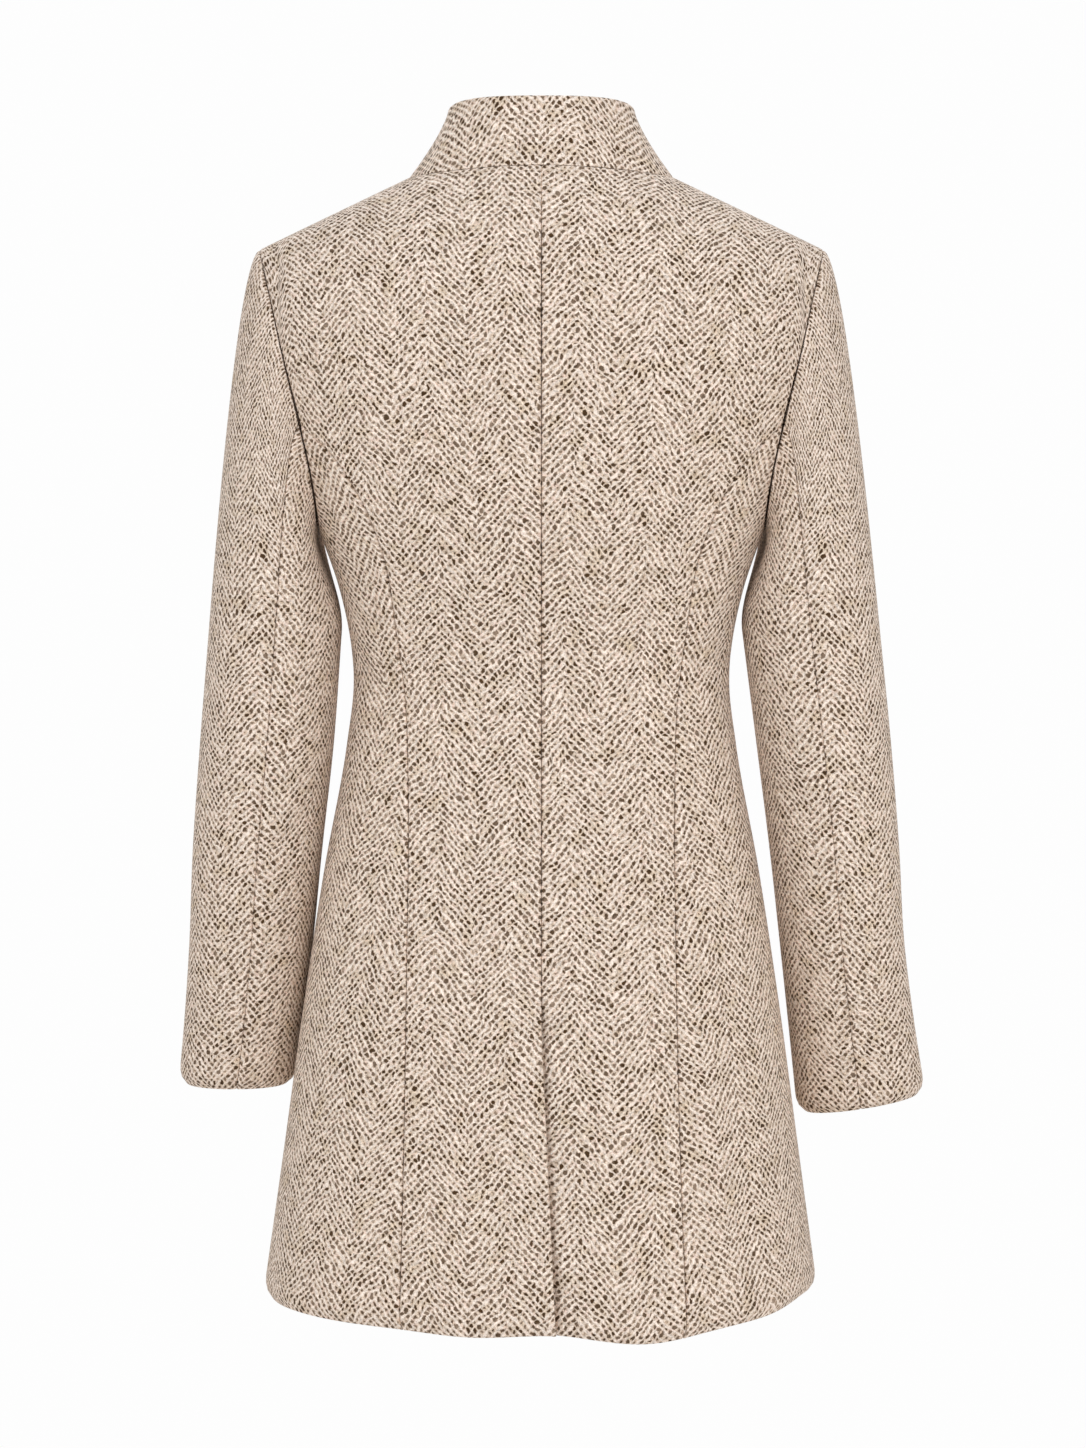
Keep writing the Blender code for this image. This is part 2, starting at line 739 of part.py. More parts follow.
def make_buttons():
    """A row of buttons down the middle of the front, clear of the cloth where it is hollow."""
    for number in range(BUTTON_COUNT):
        z = np.array([BUTTON_TOP_Z - number * BUTTON_PITCH])
        outward = outward_of(
            lambda across, height: body_across(across, height, FRONT), 0 * z, z, STEP
        )[0]
        middle = front_middle(z)[0]
        spread = z + np.linspace(-BUTTON_RADIUS, BUTTON_RADIUS, 9)
        lift = ((front_middle(spread) - middle) @ outward).max()
        button(f"button_{number + 1}", Vector(middle + lift * outward), Vector(outward))


def main():
    for obj in list(bpy.data.objects):
        bpy.data.objects.remove(obj)
    for name in ("duster_coat", "cutters"):
        bpy.context.scene.collection.children.link(bpy.data.collections.new(name))
    coat = bpy.data.objects.new("coat", None)
    bpy.data.collections["duster_coat"].objects.link(coat)
    make_body()
    make_collar()
    make_sleeves()
    make_buttons()


main()
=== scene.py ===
"""Fitted herringbone tweed coat with a stand collar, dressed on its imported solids.

Frame: metres, +Z up. The coat faces -Y and the wearer's left is +X. The origin is the middle of the
neck opening, level with the collar seam at the centre back. Tables are in millimetres.
"""

from __future__ import annotations

import logging
import math
import zlib
from dataclasses import dataclass, replace
from enum import Enum
from typing import Any, Callable, NamedTuple, Sequence, Union

import bmesh
import bpy
import numpy as np
from mathutils import Matrix, Vector

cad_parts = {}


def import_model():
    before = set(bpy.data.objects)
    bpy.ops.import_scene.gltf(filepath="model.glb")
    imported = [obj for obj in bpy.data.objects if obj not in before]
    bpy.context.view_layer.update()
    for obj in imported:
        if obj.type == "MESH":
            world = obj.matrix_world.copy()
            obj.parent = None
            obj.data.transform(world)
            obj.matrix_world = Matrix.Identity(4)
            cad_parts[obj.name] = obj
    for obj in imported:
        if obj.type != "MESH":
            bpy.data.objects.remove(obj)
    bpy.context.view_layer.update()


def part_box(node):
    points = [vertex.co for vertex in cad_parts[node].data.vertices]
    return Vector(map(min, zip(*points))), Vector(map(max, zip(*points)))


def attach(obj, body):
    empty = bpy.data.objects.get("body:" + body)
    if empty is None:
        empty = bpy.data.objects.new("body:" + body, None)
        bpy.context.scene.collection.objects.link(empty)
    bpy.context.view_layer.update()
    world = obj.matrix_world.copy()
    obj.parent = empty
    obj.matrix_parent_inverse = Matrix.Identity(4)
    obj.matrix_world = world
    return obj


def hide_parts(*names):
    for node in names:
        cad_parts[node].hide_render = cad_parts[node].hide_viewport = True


LOG = logging.getLogger("coat")
MM = 0.001
BODY = "root"
WEAVE = "weave"
TINY = 1e-12
MERGE = 1e-6
# How soon a crease fades where the cloth turns away from the face that it is seen from
CREASE_FADE = 3

Array = np.ndarray
Share = Union[Array, float]
Lost = Union[Array, None]
Piece = bpy.types.Object
Material = bpy.types.Material
Mesh = bmesh.types.BMesh


class Side(Enum):
    """A half of the coat, by the sign of its x."""

    LEFT = 1
    RIGHT = -1


class Facing(Enum):
    """A face of the body, by the sign of its y."""

    BACK = 1
    FRONT = -1


class Edge(Enum):
    """An edge of a grid of cloth: the axis across it and the row or column at it."""

    TOP = (0, 0)
    BOTTOM = (0, -1)
    FIRST = (1, 0)
    LAST = (1, -1)


class Section(NamedTuple):
    """A level ring of the body."""

    z: float
    half_width: float
    back: float
    front: float


class Seam(NamedTuple):
    """A seam's distance from the middle on the back and on the front."""

    z: float
    back: float
    front: float


class Take(NamedTuple):
    """How much cloth the centre-back seam takes away at a height."""

    z: float
    back: float


class Flute(NamedTuple):
    """A soft flute of the skirt: place and spread in degrees, swing, drop and the height it starts at."""

    turn: float
    spread: float
    out: float
    drop: float
    start: float


class Ring(NamedTuple):
    """A ring of a sleeve below its cap."""

    z: float
    x: float
    y: float
    half_width: float
    half_depth: float
    tilt: float


class Crease(NamedTuple):
    """A soft trough of the cloth, or a ridge where its depth is negative, as it is seen from one face."""

    piece: str
    facing: Facing
    start: tuple[float, float]
    end: tuple[float, float]
    depth: float
    width: float


class Turning(NamedTuple):
    """A point of a button's section."""

    share: float
    height: float


def read(table: Sequence[Any], column: str, z: Array) -> Array:
    """Reads a table on a smooth curve through its rows.

    Args:
        table: Rows with a height z and values, in millimetres.
        column: Name of the value.
        z: Heights in metres.

    Returns:
        The values in metres.
    """
    rows = sorted(table)
    knots = np.array([row.z for row in rows]) * MM
    values = np.array([getattr(row, column) for row in rows]) * MM
    slopes = np.gradient(values, knots)
    z = np.asarray(z, float)
    i = np.clip(np.searchsorted(knots, z) - 1, 0, len(knots) - 2)
    span = knots[i + 1] - knots[i]
    t = np.clip((z - knots[i]) / span, 0, 1)
    start = (2 * t**3 - 3 * t**2 + 1) * values[i] + (t**3 - 2 * t**2 + t) * span * slopes[i]
    end = (3 * t**2 - 2 * t**3) * values[i + 1] + (t**3 - t**2) * span * slopes[i + 1]
    return start + end


def unit(vectors: Array) -> Array:
    """The vectors made one metre long."""
    return vectors / np.maximum(np.linalg.norm(vectors, axis=-1, keepdims=True), TINY)


def fade(distance: Array, width: float) -> Array:
    """1 up to distance 0, and softly down to 0 at width."""
    t = np.clip(distance / width, 0, 1)
    return 1 - t * t * (3 - 2 * t)


def sunken(distance: Array, depth: float, reach: float, steep: float = 0.94) -> Array:
    """How far cloth is rounded down beside a line where it is sewn or cut.

    Args:
        distance: Distances from the line.
        depth: How far down the cloth goes at the line.
        reach: How far from the line that begins.
        steep: How near to upright the cloth ends there, up to 1.

    Returns:
        Depths, along an arc.
    """
    near = steep * np.clip(1 - distance / reach, 0, 1)
    return depth * (1 - np.sqrt(1 - near**2)) / (1 - math.sqrt(1 - steep**2))


def run(points: Array, axis: int) -> Array:
    """Distance along the cloth from the first row or column.

    Args:
        points: Grid of the cloth.
        axis: The axis to go along.

    Returns:
        The distances.
    """
    axis %= points.ndim
    strides = np.linalg.norm(np.diff(points, axis=axis), axis=-1)
    return np.concatenate([np.zeros_like(strides.take([0], axis)), np.cumsum(strides, axis)], axis)


@dataclass(frozen=True)
class Pitch:
    """How finely cloth is divided: evenly over its middle and in small steps beside its edges."""

    even: float = 4.5 * MM
    edge: tuple[float, ...] = (0.0, 0.5, 1.0, 1.6, 2.4, 3.6, 5.4, 8.0)

    def shares(self, length: float, start: bool = False, end: bool = False) -> Array:
        """Divides a length.

        Args:
            length: Length in metres.
            start: Whether its start takes the small steps.
            end: Whether its end does.

        Returns:
            Shares of the length from 0 to 1.
        """
        steps = np.array(self.edge) * MM / length
        lead = steps if start else np.zeros(1)
        tail = 1 - steps[::-1] if end else np.ones(1)
        count = max(1, round((tail[0] - lead[-1]) * length / self.even))
        return np.concatenate([lead, np.linspace(lead[-1], tail[0], count + 1)[1:-1], tail])


PITCH = Pitch()


@dataclass(frozen=True)
class Cloth:
    """A grid of cloth, with rows down the piece and columns across it."""

    points: Array
    normals: Array
    weave: Array

    def distance(self, edge: Edge) -> Array:
        """Measures along the cloth.

        Args:
            edge: The edge to measure from.

        Returns:
            Distance of each point from the edge.
        """
        axis, at = edge.value
        length = run(self.points, axis)
        return length if at == 0 else length.take([-1], axis) - length

    def lowered(self, depths: Array) -> Cloth:
        """The cloth moved in against its normals, by a depth at each point."""
        return replace(self, points=self.points - depths[..., None] * self.normals)

    def gapped(self, gaps: dict[Edge, float]) -> Cloth:
        """Draws edges in by half of the gap that their seam takes.

        Args:
            gaps: Gap of each edge in metres.

        Returns:
            The smaller cloth.
        """
        grid = self.points.copy()
        for edge, gap in gaps.items():
            axis, at = edge.value
            rows = np.moveaxis(grid, axis, 0)
            before = np.moveaxis(self.points, axis, 0)
            beside = 1 if at == 0 else -2
            rows[at] += unit(before[beside] - before[at]) * gap / 2
        return replace(self, points=grid)

    def shaped(self, move: Callable[[Array], Array], side: Side = Side.LEFT) -> Cloth:
        """Puts the cloth on its side of the coat and moves its points.

        Args:
            move: Moves points.
            side: The side; the right one is mirrored.

        Returns:
            The moved cloth, with the normals of its new form.
        """
        mirror = np.array([side.value, 1, 1])
        points = move(self.points * mirror)
        normals = unit(np.cross(np.gradient(points, axis=1), np.gradient(points, axis=0)))
        turn = np.sign((normals * self.normals * mirror).sum())
        return replace(self, points=points, normals=normals * turn)

    def pressed(self, edge: Edge, depth: float, reach: float, weight: Share = 1.0) -> Cloth:
        """Rounds the cloth down at an edge, as where it is sewn or cut.

        Args:
            edge: The edge.
            depth: How far down it goes there.
            reach: How far from the edge that begins.
            weight: Share of the depth at each point.

        Returns:
            The rounded cloth.
        """
        return self.lowered(sunken(self.distance(edge), depth, reach) * weight)

    def creased(self, name: str, creases: Sequence[Crease]) -> Cloth:
        """Lays the creases of a piece into it.

        Args:
            name: Name of the piece.
            creases: All creases of the coat.

        Returns:
            The creased cloth.
        """
        sink = np.zeros(self.points.shape[:2])
        for crease in creases:
            if not name.startswith(crease.piece):
                continue
            start, end = np.array(crease.start) * MM, np.array(crease.end) * MM
            place = self.points[..., [0, 2]] - start
            along = place @ (end - start) / ((end - start) @ (end - start))
            held = np.clip(along, 0, 1)
            away = np.linalg.norm(place - held[..., None] * (end - start), axis=-1)
            faces = np.clip(self.normals[..., 1] * crease.facing.value * CREASE_FADE, 0, 1)
            taper = np.sqrt(np.clip(4 * held * (1 - held), 0, 1))
            sink += crease.depth * MM * np.exp(-((away / (crease.width * MM)) ** 2)) * taper * faces
        return self.lowered(sink)

    def turned(self, radius: float, reach: float, steps: int = 7) -> Cloth:
        """Rolls the last row under and carries the cloth back up inside the piece.

        Args:
            radius: Radius of the roll.
            reach: How far the cloth goes back.
            steps: Rows of the roll.

        Returns:
            The cloth with its turned edge.
        """
        edge, normal = self.points[-1], self.normals[-1]
        down = edge - self.points[-2]
        down = unit(down - (down * normal).sum(-1, keepdims=True) * normal)
        angles = np.linspace(0, math.pi, steps + 1)[1:, None, None]
        roll = edge + radius * (np.sin(angles) * down - (1 - np.cos(angles)) * normal)
        facing = np.cos(angles) * normal + np.sin(angles) * down
        distance = self.distance(Edge.BOTTOM)
        rows = int((distance[:, distance.shape[1] // 2] <= reach).sum())
        back = np.s_[-2 : -rows - 1 : -1]
        onward = unit(self.weave[-1] - self.weave[-2])
        rolled = self.weave[-1] + radius * angles * onward
        inside = self.weave[-1] + (radius * math.pi + distance[back])[..., None] * onward
        return Cloth(
            np.concatenate([self.points, roll, self.points[back] - 2 * radius * self.normals[back]]),
            np.concatenate([self.normals, facing, -self.normals[back]]),
            np.concatenate([self.weave, rolled, inside]),
        )

    def cut(self) -> tuple[float, float]:
        """Width and length of the rectangle that the piece is cut from."""
        width, length = np.ptp(self.weave.reshape(-1, 2), axis=0)
        return float(width), float(length)


def joined(build: Mesh, name: str) -> Piece:
    """Makes a smooth object from a bmesh and frees it.

    Args:
        build: The mesh in the making.
        name: Name of the piece.

    Returns:
        The linked object.
    """
    mesh = bpy.data.meshes.new(name)
    build.to_mesh(mesh)
    build.free()
    mesh.shade_smooth()
    piece = bpy.data.objects.new(name, mesh)
    bpy.context.scene.collection.objects.link(piece)
    return piece


@dataclass(frozen=True)
class Tailoring:
    """How cloth becomes a piece of the coat."""

    thickness: float = 2.2 * MM
    hem_radius: float = 2.5 * MM
    hem_reach: float = 34 * MM
    roll_depth: float = 5.5 * MM
    roll_reach: float = 13 * MM
    seam_depth: float = 2.3 * MM
    seam_reach: float = 1.9 * MM
    valley_depth: float = 0.9 * MM
    valley_reach: float = 8 * MM
    edge_depth: float = 1.3 * MM
    edge_reach: float = 1.6 * MM
    shaping_share: float = 0.78
    armhole_share: float = 0.35
    armhole_z: float = -215 * MM
    armhole_fade: float = 100 * MM
    bolt_across: float = 54 * MM
    bolt_along: float = 11.8 * MM
    bolt_stretches: int = 61

    def laid(self, cloth: Cloth, name: str) -> Array:
        """Lays a piece on its own stretch of the bolt, whole repeats of the weave away from the others."""
        repeats = zlib.crc32(name.encode()) % self.bolt_stretches
        return cloth.weave + np.array([self.bolt_across, self.bolt_along]) * repeats

    def seam(self, distance: Array) -> Array:
        """How far down cloth goes beside a seam: a narrow groove within a shallow valley."""
        groove = sunken(distance, self.seam_depth, self.seam_reach)
        return groove + sunken(distance, self.valley_depth, self.valley_reach)

    def seamed(self, cloth: Cloth, edge: Edge, weight: Share = 1.0) -> Cloth:
        """Draws an edge of the cloth down into its seam.

        Args:
            cloth: The cloth.
            edge: The edge.
            weight: Share of the seam's depth at each point.

        Returns:
            The cloth with its seam.
        """
        return cloth.lowered(self.seam(cloth.distance(edge)) * weight)

    def armhole(self, z: Array) -> Array:
        """Share of a seam's depth at heights: less where it goes up round the armhole to the shoulder."""
        above = 1 - fade(z - self.armhole_z, self.armhole_fade)
        return self.shaping_share + (self.armhole_share - self.shaping_share) * above

    def hemmed(self, cloth: Cloth) -> Cloth:
        """The cloth with its lower edge rolled softly in and turned up inside."""
        rolled = cloth.pressed(Edge.BOTTOM, self.roll_depth, self.roll_reach)
        return rolled.shaped(lambda grid: grid).turned(self.hem_radius, self.hem_reach)

    def sewn(self, cloth: Cloth, name: str, finish: Material,
             gone: Lost = None) -> Piece:
        """Makes a piece of cloth that stands for its solid.

        Args:
            cloth: The cloth, its face side out.
            name: Name of the solid.
            finish: Material of the cloth.
            gone: Points beside which the cloth is cut away.

        Returns:
            The dressed piece.
        """
        rows, columns = cloth.points.shape[:2]
        build = bmesh.new()
        bmesh.ops.create_grid(build, x_segments=columns - 1, y_segments=rows - 1, size=1)
        cells = {}
        for vert in build.verts:
            cells[vert] = (
                round((vert.co.y + 1) / 2 * (rows - 1)), round((vert.co.x + 1) / 2 * (columns - 1))
            )
        if gone is not None:
            lost = [face for face in build.faces if any(gone[cells[vert]] for vert in face.verts)]
            bmesh.ops.delete(build, geom=lost, context="FACES")
        layer = build.loops.layers.uv.new(WEAVE)
        weave = self.laid(cloth, name)
        for vert in build.verts:
            vert.co = cloth.points[cells[vert]]
            for loop in vert.link_loops:
                loop[layer].uv = weave[cells[vert]]
        build.normal_update()
        agree = sum(vert.normal.dot(Vector(cloth.normals[cells[vert]])) for vert in build.verts)
        if agree < 0:
            bmesh.ops.reverse_faces(build, faces=build.faces[:])
        piece = joined(build, f"{name}_cloth")
        piece.data.materials.append(finish)
        wall = piece.modifiers.new("wall", "SOLIDIFY")
        wall.thickness = self.thickness
        wall.offset = -1
        wall.use_rim = True
        wall.use_quality_normals = True
        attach(piece, BODY)
        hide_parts(name)
        LOG.info("%s: cut %.0f x %.0f mm", piece.name, *(1000 * size for size in cloth.cut()))
        return piece


@dataclass(frozen=True)
class BodyForm:
    """The form that the coat's body has when it is worn."""

    hem_z: float = -810 * MM
    seam_top_z: float = -181 * MM
    underarm_z: float = -257 * MM
    front_neck_drop: float = 40 * MM
    neck_half: float = 94 * MM
    neck_side_z: float = -5.7 * MM
    shoulder_half: float = 201 * MM
    shoulder_slope: float = 0.475
    shoulder_round: float = 110 * MM
    round_power: float = 2.4
    squareness: float = 2.25
    flute_power: float = 1.5
    fine: int = 240
    weave_steps: int = 33
    sections: tuple[Section, ...] = (
        Section(60, 228, 80, 62), Section(0, 222, 88, 80), Section(-50, 215, 97, 90),
        Section(-100, 207, 104, 104), Section(-150, 195, 107, 116), Section(-200, 178, 106, 123),
        Section(-257, 159, 100, 124), Section(-300, 144.5, 91, 118), Section(-365, 135, 82, 107),
        Section(-410, 140, 86, 109), Section(-500, 156.5, 104, 117), Section(-600, 172, 121, 128),
        Section(-700, 185.5, 136, 139), Section(-810, 200.5, 150, 150),
    )
    armhole: tuple[Seam, ...] = (
        Seam(-56.5, 201, 201), Seam(-91, 192, 187), Seam(-134, 182, 173), Seam(-181, 170.5, 164),
        Seam(-220, 162.5, 160), Seam(-245, 159.5, 158.5), Seam(-257, 159, 159),
    )
    shaping: tuple[Seam, ...] = (
        Seam(-181, 170.5, 164), Seam(-203, 147, 144), Seam(-225, 132, 131), Seam(-265, 114, 118),
        Seam(-330, 102.5, 108), Seam(-372, 97, 105), Seam(-440, 94.5, 109), Seam(-560, 95, 121),
        Seam(-690, 97, 133), Seam(-810, 100.5, 142),
    )
    flutes: tuple[Flute, ...] = (
        Flute(18, 16, 1.5, 3, -600), Flute(38, 12, -2, 0, -600), Flute(68, 18, 3.5, -2, -560),
        Flute(112, 15, 3, 0.5, -560), Flute(150, 12, 2.5, 0.5, -600), Flute(-27, 17, 4, 8, -560),
        Flute(-76, 13, -1.5, -6, -600), Flute(-108, 15, 3, 0.5, -560), Flute(-152, 12, 2, 0.5, -600),
    )

    def ridge_z(self, x: Array) -> Array:
        """Height of the shoulder ridge above a sideways place."""
        return self.neck_side_z - self.shoulder_slope * (np.abs(x) - self.neck_half)

    def rounding(self, x: Array, z: Array) -> Array:
        """How much of its depth the body has reached below the shoulder ridge, from 0 to 1."""
        depth = np.clip((self.ridge_z(x) - z) / self.shoulder_round, 0, 1)
        return (1 - (1 - depth) ** self.round_power) ** (1 / self.round_power)

    def across(self, x: Array, z: Array, facing: Facing, rounded: bool = True) -> Array:
        """Body's surface on its back or its front.

        Args:
            x: Sideways places.
            z: Heights.
            facing: The face.
            rounded: Whether it closes over the shoulders.

        Returns:
            Points of the surface.
        """
        x, z = np.broadcast_arrays(np.asarray(x, float), np.asarray(z, float))
        deep = read(self.sections, facing.name.lower(), z)
        share = np.clip(np.abs(x) / read(self.sections, "half_width", z), 0, 1)
        y = facing.value * deep * (1 - share**self.squareness) ** (1 / self.squareness)
        return np.stack([x, y * self.rounding(x, z) if rounded else y, z], -1)

    def round(self, turn: Array, z: Array) -> Array:
        """Body's surface below the armholes, at a turn from the centre back towards +X.

        Args:
            turn: Turns in radians.
            z: Heights.

        Returns:
            Points of the surface.
        """
        turn, z = np.broadcast_arrays(np.asarray(turn, float), np.asarray(z, float))
        deep = np.where(np.cos(turn) > 0, read(self.sections, "back", z), read(self.sections, "front", z))
        power = 2 / self.squareness
        x = read(self.sections, "half_width", z) * np.sign(np.sin(turn)) * np.abs(np.sin(turn)) ** power
        y = deep * np.sign(np.cos(turn)) * np.abs(np.cos(turn)) ** power
        return np.stack([x, y, z], -1)

    def turn_of(self, x: Array, z: Array, facing: Facing) -> Array:
        """The turn round the body of a point at x on its back or its front."""
        share = np.clip(x / read(self.sections, "half_width", z), 0, 1)
        turn = np.arcsin(share ** (self.squareness / 2))
        return turn if facing is Facing.BACK else math.pi - turn

    def neck_z(self, x: Array, facing: Facing) -> Array:
        """Height of the collar seam, level behind and scooped in front.

        Args:
            x: Sideways places.
            facing: The face.

        Returns:
            The heights.
        """
        share = np.clip(np.abs(x) / self.neck_half, 0, 1) ** 2
        if facing is Facing.BACK:
            return self.neck_side_z * share
        return self.neck_side_z - self.front_neck_drop * (1 - share)

    def armhole_x(self, z: Array, facing: Facing) -> Array:
        """Distance of the armhole seam from the middle."""
        return read(self.armhole, facing.name.lower(), z)

    def outer_edge(self, z: Array, facing: Facing) -> Array:
        """A panel's edge at the side: the armhole, then the shaping seam."""
        seam = read(self.shaping, facing.name.lower(), z)
        return np.where(z >= self.seam_top_z, self.armhole_x(z, facing), seam)

    def even_heights(self, curve: Callable[[Array], Array], top: float, bottom: float,
                     shares: Array) -> Array:
        """Heights that lie at shares of the length of a curve of the cloth.

        Args:
            curve: Points of the curve at heights.
            top: Height of its start.
            bottom: Height of its end.
            shares: Shares of its length.

        Returns:
            The heights.
        """
        heights = top + (bottom - top) * np.linspace(0, 1, self.fine + 1) ** 2
        length = run(curve(heights), 0)
        return np.interp(shares * length[-1], length, heights)

    def underarm(self, shares: Array) -> tuple[Array, Array, Array]:
        """The armhole's lower arc, from the back shaping seam to the front one.

        Args:
            shares: Shares of the arc.

        Returns:
            Sideways places, heights and whether they lie on the back.
        """
        arc = 1 - 2 * shares
        z = self.underarm_z + (self.seam_top_z - self.underarm_z) * arc**2
        behind = arc >= 0
        x = np.where(behind, self.armhole_x(z, Facing.BACK), self.armhole_x(z, Facing.FRONT))
        return x, z, behind

    def hung(self, points: Array) -> Array:
        """The points of the skirt moved as its flutes hang.

        Args:
            points: Points of the body.

        Returns:
            The moved points.
        """
        x, y, z = np.moveaxis(points, -1, 0)
        turn = np.arctan2(x, y)
        out, drop = np.zeros(turn.shape), np.zeros(turn.shape)
        for flute in self.flutes:
            away = (np.degrees(turn) - flute.turn + 180) % 360 - 180
            fall = np.clip((flute.start * MM - z) / (flute.start * MM - self.hem_z), 0, 1)
            share = np.exp(-((away / flute.spread) ** 2)) * fall**self.flute_power
            out += flute.out * MM * share
            drop += flute.drop * MM * share
        return points + np.stack([out * np.sin(turn), out * np.cos(turn), -drop], -1)

    def weave_across(self, x: Array, z: Array, facing: Facing) -> Array:
        """Where points of a back or a front lie in its cloth, with the grain upright.

        Args:
            x: Sideways places.
            z: Heights.
            facing: The face.

        Returns:
            Distances across the cloth from the middle, and up it from the top of the shaping seam.
        """
        steps = np.linspace(0, 1, self.weave_steps)
        level = self.across(x[..., None] * steps, z[..., None], facing, rounded=False)
        climb = self.seam_top_z + (z[..., None] - self.seam_top_z) * (1 - (1 - steps) ** 2)
        upright = self.across(x[..., None] + 0 * climb, climb, facing)
        across = np.sign(x) * run(level, -2)[..., -1]
        up = np.sign(z - self.seam_top_z) * run(upright, -2)[..., -1]
        return np.stack([across, up], -1)

    def weave_round(self, turn: Array, z: Array) -> Array:
        """Where points of a side lie in its cloth, with the grain down its middle.

        Args:
            turn: Turns round the body.
            z: Heights.

        Returns:
            Distances across the cloth from its middle, and up it from the top of the shaping seam.
        """
        steps = np.linspace(0, 1, self.weave_steps)
        middle = (turn[:, :1] + turn[:, -1:]) / 2
        level = self.round(middle[..., None] + (turn - middle)[..., None] * steps, z[..., None])
        fall = self.seam_top_z + (z[..., None] - self.seam_top_z) * steps
        upright = self.round(turn[..., None] + 0 * fall, fall)
        return np.stack([np.sign(turn - middle) * run(level, -2)[..., -1], -run(upright, -2)[..., -1]], -1)


@dataclass(frozen=True)
class BodyPanels:
    """Backs, sides and fronts, from the collar seam to the hem."""

    form: BodyForm
    tailoring: Tailoring
    creases: tuple[Crease, ...]
    seam_gap: float = -0.1 * MM
    layer_step: float = 3.8 * MM
    hem_step: float = 2.9 * MM
    lap: float = 20 * MM
    lap_fade: float = 40 * MM
    vent_top_z: float = -565.4 * MM
    vent_open_z: float = -600.3 * MM
    vent_lean: float = 10 * MM
    vent_underlap: float = 34 * MM
    vent_fade: float = 28 * MM
    crevice_depth: float = 3.4 * MM
    crevice_width: float = 2.6 * MM
    top_share: float = 0.2
    side_settle: float = 0.5
    yoke_length: float = 150 * MM
    skirt_length: float = 600 * MM
    underarm_length: float = 220 * MM
    step_fade: float = 14 * MM
    takes: tuple[Take, ...] = (
        Take(60, 0), Take(0, 0), Take(-100, 1.5), Take(-250, 7.5), Take(-365, 11), Take(-450, 9),
        Take(-565, 5), Take(-700, 3), Take(-810, 2.5),
    )

    def lean(self, z: Array) -> Array:
        """How far the vent's upper edge has swung past the centre back."""
        share = (self.vent_open_z - z) / (self.vent_open_z - self.form.hem_z)
        return self.vent_lean * np.clip(share, 0, 1)

    def rows(self) -> tuple[Array, Array]:
        """Shares of the yoke's rows and heights of the skirt's rows below them.

        Returns:
            The shares and the heights.
        """
        top, bottom = self.form.seam_top_z, self.form.hem_z + self.tailoring.hem_radius
        shares = PITCH.shares(top - bottom)[1:]
        return PITCH.shares(self.yoke_length, start=True), top + (bottom - top) * shares

    def places(self, facing: Facing, tops: Array, first_edge: Callable[[Array], Array]
               ) -> tuple[Array, Array]:
        """Lays out the grid of a back or a front.

        Args:
            facing: The face.
            tops: Sideways places of its columns at the top.
            first_edge: Its edge towards the middle, at heights.

        Returns:
            Sideways places and heights, in rows from the top to the hem.
        """
        form = self.form
        yoke, levels = self.rows()
        start = float(first_edge(np.zeros(1))[0])
        x = np.zeros((len(yoke) + len(levels), len(tops)))
        z = np.zeros_like(x)
        for column, top_x in enumerate(tops):
            share = (top_x - start) / (form.shoulder_half - start)

            def place(height: Array, share: float = share) -> Array:
                """The column's sideways place at heights."""
                edge = first_edge(height)
                return edge + share * (form.outer_edge(height, facing) - edge)

            ridge = top_x >= form.neck_half - TINY
            top_z = float(form.ridge_z(top_x) if ridge else form.neck_z(top_x, facing))
            heights = form.even_heights(
                lambda height: form.across(place(height), height, facing), top_z, form.seam_top_z, yoke
            )
            z[:, column] = np.concatenate([heights, levels])
            x[:, column] = place(z[:, column])
            x[0, column] = top_x
        return x, z

    def tops(self) -> Array:
        """Sideways places of a panel's columns at its top, from the middle through the neck to the sleeve.

        Returns:
            The places.
        """
        form = self.form
        shoulder = form.shoulder_half - form.neck_half
        return np.concatenate([
            form.neck_half * PITCH.shares(form.neck_half, start=True),
            form.neck_half + shoulder * PITCH.shares(shoulder, end=True)[1:],
        ])

    def cloth(self, x: Array, z: Array, facing: Facing) -> Cloth:
        """The cloth of a back or a front on a grid."""
        points = self.form.across(x, z, facing)
        return Cloth(points, points * (1, 1, 0), self.form.weave_across(x, z, facing))

    def finished(self, cloth: Cloth, name: str, first: Share, finish: Material,
                 gone: Lost = None) -> Piece:
        """Presses the seams of a panel, creases it, turns up its hem and makes it.

        Args:
            cloth: The hung cloth.
            name: Name of its solid.
            first: Share of the first edge that is sewn, at each point; the rest is a free edge.
            finish: The cloth's material.
            gone: Points beside which the cloth is cut away.

        Returns:
            The piece.
        """
        tailoring = self.tailoring
        for edge in (Edge.TOP, Edge.LAST):
            weight = self.top_share if edge is Edge.TOP else tailoring.armhole(cloth.points[..., 2])
            cloth = tailoring.seamed(cloth, edge, weight)
        cloth = tailoring.seamed(cloth, Edge.FIRST, first)
        cloth = cloth.pressed(Edge.FIRST, tailoring.edge_depth, tailoring.edge_reach, 1 - first)
        cloth = tailoring.hemmed(cloth.creased(name, self.creases))
        if gone is not None:
            gone = np.pad(gone, ((0, len(cloth.points) - len(gone)), (0, 0)))
        return tailoring.sewn(cloth, name, finish, gone)

    def under_step(self, z: Array) -> Array:
        """How far in a layer lies under another one, more where the other one has its hem."""
        above_hem = z - self.form.hem_z - self.tailoring.hem_reach
        return self.layer_step + self.hem_step * fade(above_hem, self.step_fade)

